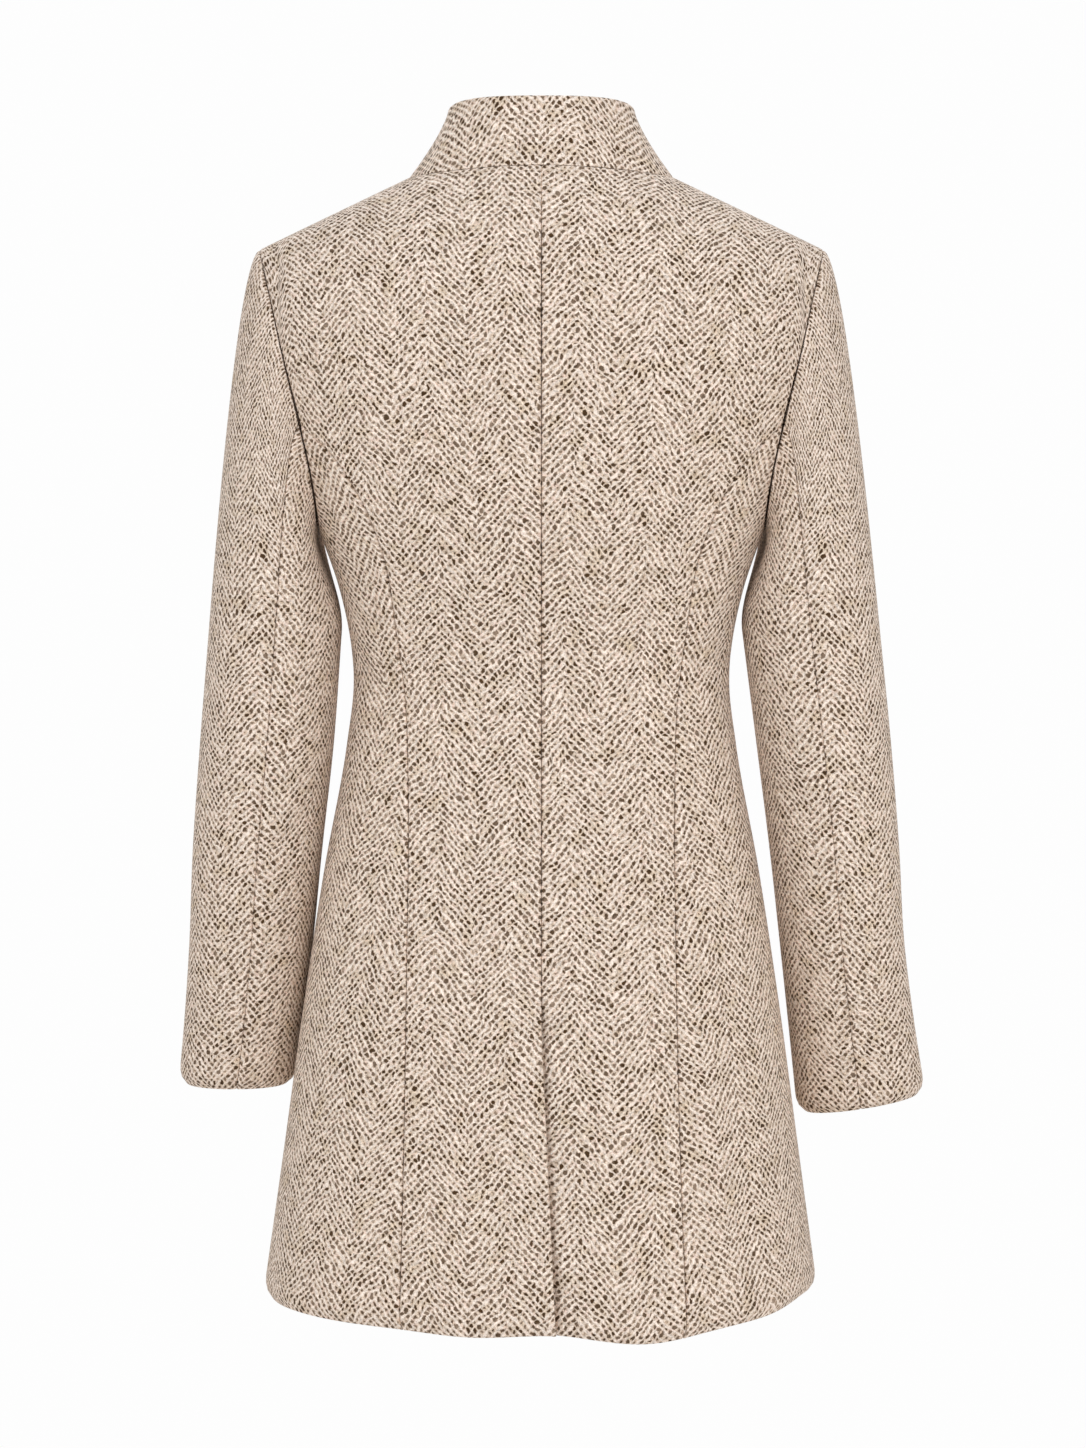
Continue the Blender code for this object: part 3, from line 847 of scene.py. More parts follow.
    def build_backs(self, finish: Material) -> list[Piece]:
        """Makes both backs, the left one's vent edge over the right one's underlap.

        Args:
            finish: The cloth's material.

        Returns:
            Both pieces.
        """
        form = self.form
        seams = dict.fromkeys((Edge.TOP, Edge.FIRST, Edge.LAST), self.seam_gap)
        x, z = self.places(Facing.BACK, self.tops(), lambda height: -self.lean(height))
        cloth = self.taken(self.cloth(x, z, Facing.BACK), z).gapped(seams).shaped(form.hung)
        sewn = fade(self.vent_top_z - z, self.vent_top_z - self.vent_open_z)
        left = self.finished(cloth, "back_left", sewn, finish)

        x, z = self.places(Facing.BACK, self.tops(), self.lean)
        line = x[:, :1]
        shares = PITCH.shares(self.vent_underlap, start=True, end=True)[:-1]
        x = np.hstack([-self.vent_underlap + (line + self.vent_underlap) * shares, x])
        z = np.hstack([np.repeat(z[:, :1], len(shares), axis=1), z])
        cloth = self.taken(self.cloth(x, z, Facing.BACK), z)
        opened = 1 - fade(self.vent_top_z - z, self.vent_top_z - self.vent_open_z)
        beyond = x - line
        sunk = self.under_step(z) * fade(beyond - self.seam_gap, self.vent_fade)
        sunk = sunk + self.crevice_depth * np.exp(-((beyond / self.crevice_width) ** 2))
        sunk = opened * sunk + (1 - opened) * self.tailoring.seam(np.abs(beyond))
        gone = np.zeros(x.shape, bool)
        gone[:, : len(shares)] = z[:, : len(shares)] > self.vent_open_z
        edges = {Edge.TOP: self.seam_gap, Edge.LAST: self.seam_gap}
        cloth = cloth.gapped(edges).shaped(form.hung, Side.RIGHT).lowered(sunk)
        right = self.finished(cloth, "back_right", 0.0, finish, gone)
        return [left, right]

    def taken(self, cloth: Cloth, z: Array) -> Cloth:
        """The cloth with what the centre-back seam takes out of its weave."""
        take = read(self.takes, "back", z)
        return replace(cloth, weave=cloth.weave + np.stack([take, 0 * take], -1))

    def build_sides(self, finish: Material) -> list[Piece]:
        """Makes the panel under each arm.

        Args:
            finish: The cloth's material.

        Returns:
            Both pieces.
        """
        form = self.form
        shares = PITCH.shares(self.underarm_length, start=True, end=True)
        arm_x, arm_z, behind = form.underarm(shares)
        arm_turn = np.where(
            behind, form.turn_of(arm_x, arm_z, Facing.BACK), form.turn_of(arm_x, arm_z, Facing.FRONT)
        )

        def seam_turns(z: Array) -> list[Array]:
            """Turns of the back and the front shaping seam at heights."""
            return [form.turn_of(read(form.shaping, face.name.lower(), z), z, face) for face in Facing]

        first, last = seam_turns(arm_z)
        top_shares = (arm_turn - first) / (last - first)
        falls = PITCH.shares(self.skirt_length, start=True)[:, None]
        z = arm_z + (form.hem_z + self.tailoring.hem_radius - arm_z) * falls
        settled = fade(falls, self.side_settle)
        first, last = seam_turns(z)
        turn = first + (last - first) * (top_shares * settled + shares * (1 - settled))
        points = form.round(turn, z)
        cloth = Cloth(points, points * (1, 1, 0), form.weave_round(turn, z))
        cloth = cloth.gapped(dict.fromkeys((Edge.TOP, Edge.FIRST, Edge.LAST), self.seam_gap))
        return [
            self.finished(
                cloth.shaped(form.hung, side), f"side_{side.name.lower()}",
                self.tailoring.shaping_share, finish,
            )
            for side in Side
        ]

    def build_fronts(self, finish: Material) -> list[Piece]:
        """Makes both fronts, the right one lapped over the left one.

        Args:
            finish: The cloth's material.

        Returns:
            Both pieces.
        """
        form = self.form
        lap = -self.lap * (1 - PITCH.shares(self.lap, start=True))[:-1]
        tops = np.concatenate([lap, self.tops()])
        x, z = self.places(Facing.FRONT, tops, lambda height: -self.lap + 0 * height)
        made = []
        for side in Side:
            cloth = self.cloth(x, z, Facing.FRONT)
            cloth = cloth.gapped({Edge.TOP: self.seam_gap, Edge.LAST: self.seam_gap})
            cloth = cloth.shaped(form.hung, side)
            if side is Side.LEFT:
                sunk = self.under_step(z) * fade(np.abs(x) - self.lap - self.seam_gap, self.lap_fade)
                cloth = cloth.lowered(sunk)
            name = f"front_{side.name.lower()}"
            made.append(self.finished(cloth, name, 0.0, finish))
        return made


@dataclass(frozen=True)
class StandCollar:
    """The stand collar, cut double with its fold along the top."""

    form: BodyForm
    tailoring: Tailoring
    top_half: float = 66.5 * MM
    top_back: float = 59 * MM
    top_front: float = 64 * MM
    top_z: float = 49 * MM
    front_dip: float = 25 * MM
    flare: float = 1.3
    gap: float = -0.1 * MM
    end_gap: float = 0.3 * MM
    seam_depth: float = 0.25 * MM
    half_length: float = 290 * MM
    height: float = 60 * MM

    def neckline(self, turns: Array) -> Array:
        """Points of the collar seam, from the centre back round to the centre front.

        Args:
            turns: Turns from the centre back, in radians.

        Returns:
            The points.
        """
        form = self.form
        x = form.neck_half * np.sin(turns)
        behind = form.across(x, form.neck_z(x, Facing.BACK), Facing.BACK)
        before = form.across(x, form.neck_z(x, Facing.FRONT), Facing.FRONT)
        return np.where((turns <= math.pi / 2)[:, None], behind, before)

    def fanned(self, points: Array) -> Array:
        """Where points of the collar lie in its cloth: a fan, because its top is shorter than its seam.

        Args:
            points: Rows of the collar from its seam up, with the centre back in the middle.

        Returns:
            Distances across the cloth from the centre back, and up it from the seam.
        """
        length, rise = run(points, 1), run(points, 0)
        middle = points.shape[1] // 2
        seam, top, height = length[0, -1], length[-1, -1], rise[-1, middle]
        radius = seam * height / (seam - top)
        reach = radius - rise[:, [middle]]
        turn = (length - length[:, [middle]]) / reach
        return np.stack([reach * np.sin(turn), radius - reach * np.cos(turn)], -1)

    def build(self, finish: Material) -> Piece:
        """Makes the collar, its ends at the centre front.

        Args:
            finish: The cloth's material.

        Returns:
            The piece.
        """
        turns = math.pi * PITCH.shares(self.half_length, end=True)
        base = self.neckline(turns)
        depth = np.where(np.cos(turns) > 0, self.top_back, self.top_front)
        dip = self.front_dip * ((1 - np.cos(turns)) / 2) ** 2
        radius = self.tailoring.hem_radius
        top = np.stack(
            [self.top_half * np.sin(turns), depth * np.cos(turns), self.top_z - radius - dip], -1
        )
        rise = PITCH.shares(self.height, start=True)[:, None]
        inward = 1 - (1 - rise) ** self.flare
        half = np.concatenate(
            [
                base[None, :, :2] + (top - base)[None, :, :2] * inward[..., None],
                base[None, :, 2:] + (top - base)[None, :, 2:] * rise[..., None],
            ],
            axis=-1,
        )
        points = np.concatenate([half[:, :0:-1] * (-1, 1, 1), half], axis=1)
        cloth = Cloth(points, points * (1, 1, 0), self.fanned(points))
        cloth = cloth.gapped({Edge.TOP: self.gap, Edge.FIRST: self.end_gap, Edge.LAST: self.end_gap})
        cloth = cloth.shaped(lambda grid: grid)
        cloth = cloth.pressed(Edge.TOP, self.seam_depth, self.tailoring.seam_reach)
        for edge in (Edge.FIRST, Edge.LAST):
            cloth = cloth.pressed(edge, self.tailoring.edge_depth, self.tailoring.edge_reach)
        return self.tailoring.sewn(cloth.turned(radius, self.height), "collar", finish)


@dataclass(frozen=True)
class Sleeves:
    """Two-piece set-in sleeves, hanging as the arms do."""

    form: BodyForm
    tailoring: Tailoring
    creases: tuple[Crease, ...]
    head: float = 15 * MM
    pull: float = 0.42
    fall: float = 1.1
    back_ease: float = 0.2
    back_seam: float = 356
    front_seam: float = 200
    armhole_gap: float = 0.1 * MM
    seam_gap: float = -0.1 * MM
    seam_share: float = 0.6
    step: float = 0.2 * MM
    shoulder: float = 90
    cap_length: float = 190 * MM
    back_length: float = 150 * MM
    under_length: float = 170 * MM
    front_length: float = 160 * MM
    left: tuple[Ring, ...] = (
        Ring(-330, 191.5, -3, 47.8, 59, 0), Ring(-410, 198, -5, 48.2, 57, 0),
        Ring(-487, 205.5, -10, 46.8, 53, 0), Ring(-560, 211.5, -20, 44.8, 49, 0.01),
        Ring(-610, 217, -29, 43.5, 46, 0.02), Ring(-665, 224, -39, 42.2, 44, 0.02),
    )
    right: tuple[Ring, ...] = (
        Ring(-330, 194, -3, 49.5, 59, 0), Ring(-410, 203.5, -5, 48.5, 57, 0),
        Ring(-487, 212, -10, 46.8, 53, 0.02), Ring(-560, 219, -20, 45, 49, 0.06),
        Ring(-615, 226, -29, 45.4, 46.5, 0.11), Ring(-679, 235, -40, 47, 45, 0.16),
    )

    def ring_points(self, rings: Sequence[Ring], z: Array, turns: Array) -> Array:
        """Points of a sleeve's rings; turn 0 is the sleeve's back, a quarter turn its outside.

        Args:
            rings: The sleeve's table.
            z: Heights.
            turns: Turns in radians.

        Returns:
            Points of the sleeve.
        """
        tilt = read(rings, "tilt", z) / MM
        x = read(rings, "half_width", z) * np.sin(turns)
        y = read(rings, "half_depth", z) * np.cos(turns)
        middle = np.stack([read(rings, "x", z) + 0 * x, read(rings, "y", z) + 0 * x, z + 0 * x], -1)
        return middle + np.stack([x, y, tilt * x], -1)

    def columns(self) -> tuple[Array, Array, tuple[int, int, int]]:
        """Lays out a sleeve's columns round the armhole, from the shoulder over the back.

        Returns:
            Their starts on the armhole, their turns, and how many lie over the back, under the arm and
            over the front.
        """
        form = self.form
        back = PITCH.shares(self.back_length, end=True)
        under = PITCH.shares(self.under_length, start=True, end=True)
        front = PITCH.shares(self.front_length, start=True)
        top = float(form.ridge_z(form.shoulder_half))

        def edge(facing: Facing, shares: Array) -> Array:
            """Points of the armhole seam between the shoulder and the shaping seam."""

            def curve(z: Array) -> Array:
                """The armhole seam at heights."""
                return form.across(form.armhole_x(z, facing), z, facing)

            return curve(form.even_heights(curve, top, form.seam_top_z, shares))

        x, z, behind = form.underarm(under)
        arc = np.where(
            behind[:, None], form.across(x, z, Facing.BACK), form.across(x, z, Facing.FRONT)
        )
        starts = np.concatenate([
            edge(Facing.BACK, back)[:-1], arc[:-1], edge(Facing.FRONT, 1 - front)[:-1]
        ])
        whole = self.shoulder + 360
        turns = np.concatenate([
            whole + (self.back_seam - whole) * back[:-1],
            self.back_seam + (self.front_seam - self.back_seam) * under[:-1],
            self.front_seam + (self.shoulder - self.front_seam) * front[:-1],
        ])
        return starts, np.radians(turns), (len(back) - 1, len(under) - 1, len(front) - 1)

    def headings(self, starts: Array, turns: Array) -> Array:
        """Directions in which the columns leave the armhole: out at the shoulder, down under the arm.

        Args:
            starts: Where the columns leave it.
            turns: The columns' turns.

        Returns:
            The directions.
        """
        form = self.form
        top = form.ridge_z(form.shoulder_half)
        height = (starts[:, 2] - form.underarm_z) / (top - form.underarm_z)
        back = self.back_ease * np.cos(turns) * np.sin(math.pi * height)
        down = -(form.shoulder_slope + self.fall * (1 - height))
        return unit(np.stack([np.ones(len(turns)), back, down], -1))

    def cap(self, starts: Array, headings: Array, rings: Sequence[Ring], turns: Array) -> Array:
        """Rows of the cap, evenly along curves from the armhole to the first ring.

        Args:
            starts: Where the columns leave the armhole.
            headings: The directions they leave in.
            rings: The sleeve's table.
            turns: The columns' turns.

        Returns:
            The rows.
        """
        top_z = np.full(len(turns), rings[0].z * MM)
        ends = self.ring_points(rings, top_z, turns)
        falling = unit(self.ring_points(rings, top_z - self.step, turns) - ends)
        first = starts + headings * self.head
        second = ends - falling * self.pull * np.linalg.norm(ends - starts, axis=1, keepdims=True)
        t = np.linspace(0, 1, self.form.fine + 1)[:, None, None]
        curves = (1 - t) ** 3 * starts + 3 * (1 - t) ** 2 * t * first
        curves = curves + 3 * (1 - t) * t**2 * second + t**3 * ends
        shares = PITCH.shares(self.cap_length, start=True)
        lengths = run(curves, 0)
        rows = np.zeros((len(shares), len(turns), 3))
        for column in range(len(turns)):
            wanted = shares * lengths[-1, column]
            for axis in range(3):
                rows[:, column, axis] = np.interp(wanted, lengths[:, column], curves[:, column, axis])
        return rows

    def build(self, side: Side, finish: Material) -> list[Piece]:
        """Makes the upper and the under sleeve of one arm.

        Args:
            side: The arm.
            finish: The cloth's material.

        Returns:
            Both pieces.
        """
        rings = self.left if side is Side.LEFT else self.right
        starts, turns, (over_back, under, over_front) = self.columns()
        headings = self.headings(starts, turns)
        cap = self.cap(starts, headings, rings, turns)
        bottom = rings[-1].z * MM + self.tailoring.hem_radius
        length = rings[0].z * MM - bottom
        levels = rings[0].z * MM - length * PITCH.shares(length)[1:]
        points = np.concatenate([cap, self.ring_points(rings, levels[:, None], turns[None])])
        round_it = np.roll(points, -1, axis=1) - np.roll(points, 1, axis=1)
        down_it = np.gradient(points, axis=0)
        down_it[0] = headings
        outward = unit(np.cross(round_it, down_it))
        middles = points.mean(axis=1, keepdims=True)
        outward *= np.sign((outward * (points - middles)).sum())
        count = points.shape[1]
        pieces = {
            "under": np.arange(over_back, over_back + under + 1),
            "upper": np.arange(over_back + under, count + over_back + 1) % count,
        }
        made = []
        for piece, chosen in pieces.items():
            name = f"sleeve_{piece}_{side.name.lower()}"
            grid, normals = points[:, chosen], outward[:, chosen]
            across = run(grid, 1)
            along = run(grid, 0)
            weave = np.stack([
                across - across[:, [len(chosen) // 2]], along[len(cap) - 1] - along
            ], -1)
            gaps = {Edge.TOP: self.armhole_gap, Edge.FIRST: self.seam_gap, Edge.LAST: self.seam_gap}
            mirror = np.array([side.value, 1, 1])
            cloth = Cloth(grid, normals, weave).gapped(gaps)
            cloth = replace(cloth, points=cloth.points * mirror, normals=normals * mirror)
            cloth = self.tailoring.seamed(cloth, Edge.TOP, self.tailoring.armhole(cloth.points[..., 2]))
            for edge in (Edge.FIRST, Edge.LAST):
                cloth = self.tailoring.seamed(cloth, edge, self.seam_share)
            cloth = self.tailoring.hemmed(cloth.creased(name, self.creases))
            made.append(self.tailoring.sewn(cloth, name, finish))
        return made


def swept(build: Mesh, place: Matrix, radius: float, sides: int, axis: Sequence[float], angle: float,
          steps: int) -> None:
    """Adds thread: a ring that is swept round an axis through the origin.

    Args:
        build: The mesh in the making.
        place: Where the ring lies.
        radius: Radius of the thread.
        sides: Sides of the ring.
        axis: The axis.
        angle: How far it is swept.
        steps: Steps of the sweep.
    """
    verts = bmesh.ops.create_circle(build, segments=sides, radius=radius, matrix=place)["verts"]
    edges = list(dict.fromkeys(edge for vert in verts for edge in vert.link_edges))
    bmesh.ops.spin(
        build, geom=verts + edges, cent=(0, 0, 0), axis=axis, dvec=(0, 0, 0), angle=angle, steps=steps,
        use_merge=angle == math.tau, use_normal_flip=False, use_duplicate=False,
    )


@dataclass(frozen=True)
class Buttons:
    """A row of sew-through buttons down the front, with their thread and worked buttonholes."""

    form: BodyForm
    radius: float = 12 * MM
    hole_radius: float = 1.1 * MM
    hole_offset: float = 2.6 * MM
    thread_radius: float = 0.36 * MM
    top_z: float = -80 * MM
    pitch: float = 96 * MM
    count: int = 5
    steps: int = 72
    drill_depth: float = 20 * MM
    drill_sides: int = 24
    thread_sides: int = 10
    strand_pitch: float = 1.7
    arch_flat: float = 0.45
    arch_sink: float = 0.15 * MM
    arch_steps: int = 12
    buttonhole_half: float = 12.5 * MM
    buttonhole_middle: float = -10.5 * MM
    buttonhole_round: float = 1.5 * MM
    buttonhole_thread: float = 0.75 * MM
    buttonhole_turn: float = 0.2
    buttonhole_flat: float = 0.55
    buttonhole_clear: float = 0.1 * MM
    buttonhole_steps: int = 96
    section: tuple[Turning, ...] = (
        Turning(0, 2.3), Turning(0.3, 2.32), Turning(0.52, 2.4), Turning(0.58, 2.55),
        Turning(0.64, 2.95), Turning(0.7, 3.4), Turning(0.76, 3.65), Turning(0.83, 3.75),
        Turning(0.9, 3.62), Turning(0.95, 3.3), Turning(0.985, 2.8), Turning(1, 2.1),
        Turning(0.985, 1.4), Turning(0.94, 0.75), Turning(0.86, 0.25), Turning(0.7, 0.05), Turning(0, 0),
    )

    def seats(self) -> list[Matrix]:
        """Where the buttons lie on the front, facing away from it.

        Returns:
            A place and a turn for each button.
        """
        found = []
        for number in range(self.count):
            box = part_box(f"button_{number + 1}")
            middle = (Vector(box[0]) + Vector(box[1])) / 2
            z = np.array([self.top_z - number * self.pitch])
            near = self.form.across(0 * z, z + np.array([-MM, MM]), Facing.FRONT)
            slope = Vector(near[1] - near[0]).normalized()
            outward = Vector((1, 0, 0)).cross(slope).normalized()
            outward = outward if outward.y < 0 else -outward
            half = max(turning.height for turning in self.section) * MM / 2
            seat = middle - outward * half
            found.append(Matrix.Translation(seat) @ outward.to_track_quat("Z", "Y").to_matrix().to_4x4())
        return found

    def blank(self) -> Piece:
        """A turned button with its four holes, lying on the origin.

        Returns:
            The button.
        """
        build = bmesh.new()
        verts = [build.verts.new((turn.share * self.radius, 0, turn.height * MM)) for turn in self.section]
        edges = [build.edges.new(pair) for pair in zip(verts, verts[1:])]
        bmesh.ops.spin(
            build, geom=verts + edges, cent=(0, 0, 0), axis=(0, 0, 1), dvec=(0, 0, 0),
            angle=math.tau, steps=self.steps, use_merge=True, use_normal_flip=False, use_duplicate=False,
        )
        bmesh.ops.remove_doubles(build, verts=build.verts[:], dist=MERGE)
        bmesh.ops.recalc_face_normals(build, faces=build.faces[:])
        button = joined(build, "button_blank")
        drills = bmesh.new()
        for quarter in range(4):
            turn = math.radians(45 + 90 * quarter)
            away = Vector((math.cos(turn), math.sin(turn), 0)) * self.hole_offset
            bmesh.ops.create_cone(
                drills, cap_ends=True, segments=self.drill_sides, radius1=self.hole_radius,
                radius2=self.hole_radius, depth=self.drill_depth, matrix=Matrix.Translation(away),
            )
        drill = joined(drills, "button_drill")
        drilled = button.modifiers.new("drilled", "BOOLEAN")
        drilled.object = drill
        drilled.solver = "EXACT"
        graph = bpy.context.evaluated_depsgraph_get()
        holed = bpy.data.meshes.new_from_object(button.evaluated_get(graph))
        button.modifiers.clear()
        button.data = holed
        bpy.data.objects.remove(drill)
        return button

    def stitches(self, build: Mesh) -> None:
        """Adds the thread that holds a button: two bars of three strands over its face.

        Args:
            build: The mesh in the making.
        """
        reach = self.hole_offset * math.sqrt(0.5)
        face = self.section[0].height * MM - self.arch_sink
        for bar in (-1, 1):
            for strand in (-1, 0, 1):
                swept(
                    build, Matrix.Translation((reach, 0, 0)), self.thread_radius, self.thread_sides,
                    (0, -1, 0), math.pi, self.arch_steps,
                )
                verts = [vert for vert in build.verts if not vert.tag]
                bmesh.ops.scale(build, verts=verts, vec=(1, 1, self.arch_flat))
                beside = bar * reach + strand * self.thread_radius * self.strand_pitch
                bmesh.ops.translate(build, verts=verts, vec=Vector((0, beside, face)))
                for vert in verts:
                    vert.tag = True

    def buttonhole(self, z: float) -> Mesh:
        """A worked buttonhole on the right front: a ring of thread, lying on the cloth.

        Args:
            z: Its height.

        Returns:
            The mesh in the making.
        """
        build = bmesh.new()
        upright = Matrix.Translation((self.buttonhole_round, 0, 0)) @ Matrix.Rotation(math.pi / 2, 4, "X")
        swept(
            build, upright, self.buttonhole_thread, self.thread_sides, (0, 0, 1), math.tau,
            self.buttonhole_steps,
        )
        bmesh.ops.remove_doubles(build, verts=build.verts[:], dist=MERGE)
        bmesh.ops.recalc_face_normals(build, faces=build.faces[:])
        reach = self.buttonhole_half - self.buttonhole_round
        for vert in build.verts:
            x, up, height = vert.co
            stretch = reach * max(-1, min(1, x / (self.buttonhole_turn * self.buttonhole_round)))
            place = np.array([self.buttonhole_middle + x + stretch])
            level = np.array([z + up])
            foot = self.form.hung(self.form.across(place, level, Facing.FRONT))[0]
            out = self.buttonhole_flat * height + self.buttonhole_clear
            vert.co = Vector(foot) - Vector((0, out, 0))
        return build

    def build(self, horn: Material, thread: Material) -> list[Piece]:
        """Makes the buttons, their thread and their buttonholes.

        Args:
            horn: The buttons' material.
            thread: The thread's material.

        Returns:
            All pieces.
        """
        made = []
        blank = self.blank()
        for number, seat in enumerate(self.seats()):
            name = f"button_{number + 1}"
            disc = bpy.data.objects.new(f"{name}_horn", blank.data.copy())
            disc.data.transform(seat)
            disc.data.materials.clear()
            disc.data.materials.append(horn)
            disc.data.shade_smooth()
            bpy.context.scene.collection.objects.link(disc)
            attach(disc, BODY)
            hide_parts(name)
            sewing = bmesh.new()
            self.stitches(sewing)
            bmesh.ops.recalc_face_normals(sewing, faces=sewing.faces[:])
            bmesh.ops.transform(sewing, matrix=seat, verts=sewing.verts[:])
            hole = self.buttonhole(self.top_z - number * self.pitch)
            for build, piece in ((sewing, f"{name}_thread"), (hole, f"{name}_hole")):
                dressed = joined(build, piece)
                dressed.data.materials.append(thread)
                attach(dressed, BODY)
                made.append(dressed)
            made.append(disc)
            LOG.info("%s: horn, thread and buttonhole", name)
        bpy.data.objects.remove(blank)
        return made


def reckoner(operation: str, swapped: bool = False) -> Callable[..., Value]:
    """Makes an operator of Value.

    Args:
        operation: The Math node's operation.
        swapped: Whether the other operand comes first.

    Returns:
        The operator.
    """

    def operator(value: Value, *others: Operand) -> Value:
        """The value reckoned with what else there is."""
        return value.graph.math(operation, *((*others, value) if swapped else (value, *others)))

    return operator


@dataclass(frozen=True)
class Value:
    """A shader's socket that can be reckoned with like a number."""

    graph: Graph
    socket: bpy.types.NodeSocket

    __add__, __radd__ = reckoner("ADD"), reckoner("ADD", swapped=True)
    __sub__, __rsub__ = reckoner("SUBTRACT"), reckoner("SUBTRACT", swapped=True)
    __mul__, __rmul__ = reckoner("MULTIPLY"), reckoner("MULTIPLY", swapped=True)
    __truediv__, __rtruediv__ = reckoner("DIVIDE"), reckoner("DIVIDE", swapped=True)
    __abs__, __floor__ = reckoner("ABSOLUTE"), reckoner("FLOOR")

    def sway(self, width: float) -> Value:
        """A share from 0 to 1 as a swing to either side, of a width in all."""
        return (self - 0.5) * width

    def step(self, low: float, high: float) -> Value:
        """Softly from 0 at low to 1 at high."""
        return self.graph.value(
            "ShaderNodeMapRange", {"interpolation_type": "SMOOTHSTEP"},
            {"Value": self, "From Min": low, "From Max": high}, "Result",
        )


Operand = Union[Value, float]
Inputs = dict[Union[str, int], Any]
Colour = tuple[float, float, float]


class Graph:
    """The nodes of a material or of the world."""

    def __init__(self, owner: Union[Material, bpy.types.World]) -> None:
        """Starts on the nodes that the owner has at first.

        Args:
            owner: What the nodes belong to.
        """
        owner.use_nodes = True
        self.owner = owner
        self.tree = owner.node_tree

    def node(self, kind: str, settings: dict[str, Any], inputs: Inputs) -> bpy.types.Node:
        """Adds a node.

        Args:
            kind: The node's type.
            settings: Its settings, set first.
            inputs: Values or links of its sockets.

        Returns:
            The node.
        """
        node = self.tree.nodes.new(kind)
        for name, setting in settings.items():
            setattr(node, name, setting)
        self.feed(node, inputs)
        return node

    def feed(self, node: bpy.types.Node, inputs: Inputs) -> None:
        """Links values to a node's sockets, or sets them.

        Args:
            node: The node.
            inputs: What goes to each socket.
        """
        for key, given in inputs.items():
            socket = node.inputs[key]
            if isinstance(given, Value):
                self.tree.links.new(given.socket, socket)
            elif isinstance(given, tuple) and socket.type == "RGBA":
                socket.default_value = (*given, 1)
            else:
                socket.default_value = given

    def shade(self, **inputs: Any) -> Material:
        """Feeds the material's shader, by its sockets' names with _ for a space, and gives the material."""
        shader = self.tree.nodes["Principled BSDF"]
        self.feed(shader, {name.replace("_", " "): given for name, given in inputs.items()})
        return self.owner

    def value(self, kind: str, settings: dict[str, Any], inputs: Inputs,
              output: Union[str, int] = 0) -> Value:
        """Adds a node and gives one of its outputs."""
        return Value(self, self.node(kind, settings, inputs).outputs[output])

    def math(self, operation: str, *operands: Operand) -> Value:
        """Adds a Math node."""
        return self.value("ShaderNodeMath", {"operation": operation}, dict(enumerate(operands)))

    def place(self) -> Value:
        """A piece's own coordinates, in metres."""
        return self.value("ShaderNodeTexCoord", {}, {}, "Object")

    def parts(self, vector: Value) -> tuple[Value, Value, Value]:
        """The three parts of a vector or of a noise's colour."""
        node = self.node("ShaderNodeSeparateXYZ", {}, {0: vector})
        return tuple(Value(self, output) for output in node.outputs)

    def vector(self, x: Operand, y: Operand, z: Operand = 0.0) -> Value:
        """A vector of three values."""
        return self.value("ShaderNodeCombineXYZ", {}, {0: x, 1: y, 2: z})

    def noise(self, where: Value, size: float, detail: float = 0.0, output: str = "Fac") -> Value:
        """Noise with features of a size in the units of where it is read."""
        return self.value(
            "ShaderNodeTexNoise", {"noise_dimensions": "3D"},
            {"Vector": where, "Scale": 1 / size, "Detail": detail}, output,
        )

    def mix(self, share: Operand, first: Any, second: Any, blend: str = "MIX") -> Value:
        """Two colours mixed by a share of the second one."""
        return self.value(
            "ShaderNodeMix", {"data_type": "RGBA", "blend_type": blend, "clamp_factor": True},
            {0: share, 6: first, 7: second}, 2,
        )

    def bump(self, height: Value, strength: float, distance: float) -> Value:
        """A normal for the shader, from a relief."""
        relief = {"Height": height, "Strength": strength, "Distance": distance}
        return self.value("ShaderNodeBump", {}, relief, "Normal")


class Waver(NamedTuple):
    """A way in which the weave wanders: the size of its bends, and how far they go across and up."""

    size: float
    across: float
    up: float


class Ramp(NamedTuple):
    """Where a soft step begins and ends."""

    low: float
    high: float


class Relief(NamedTuple):
    """How strong a relief is, and how high."""

    strength: float
    distance: float


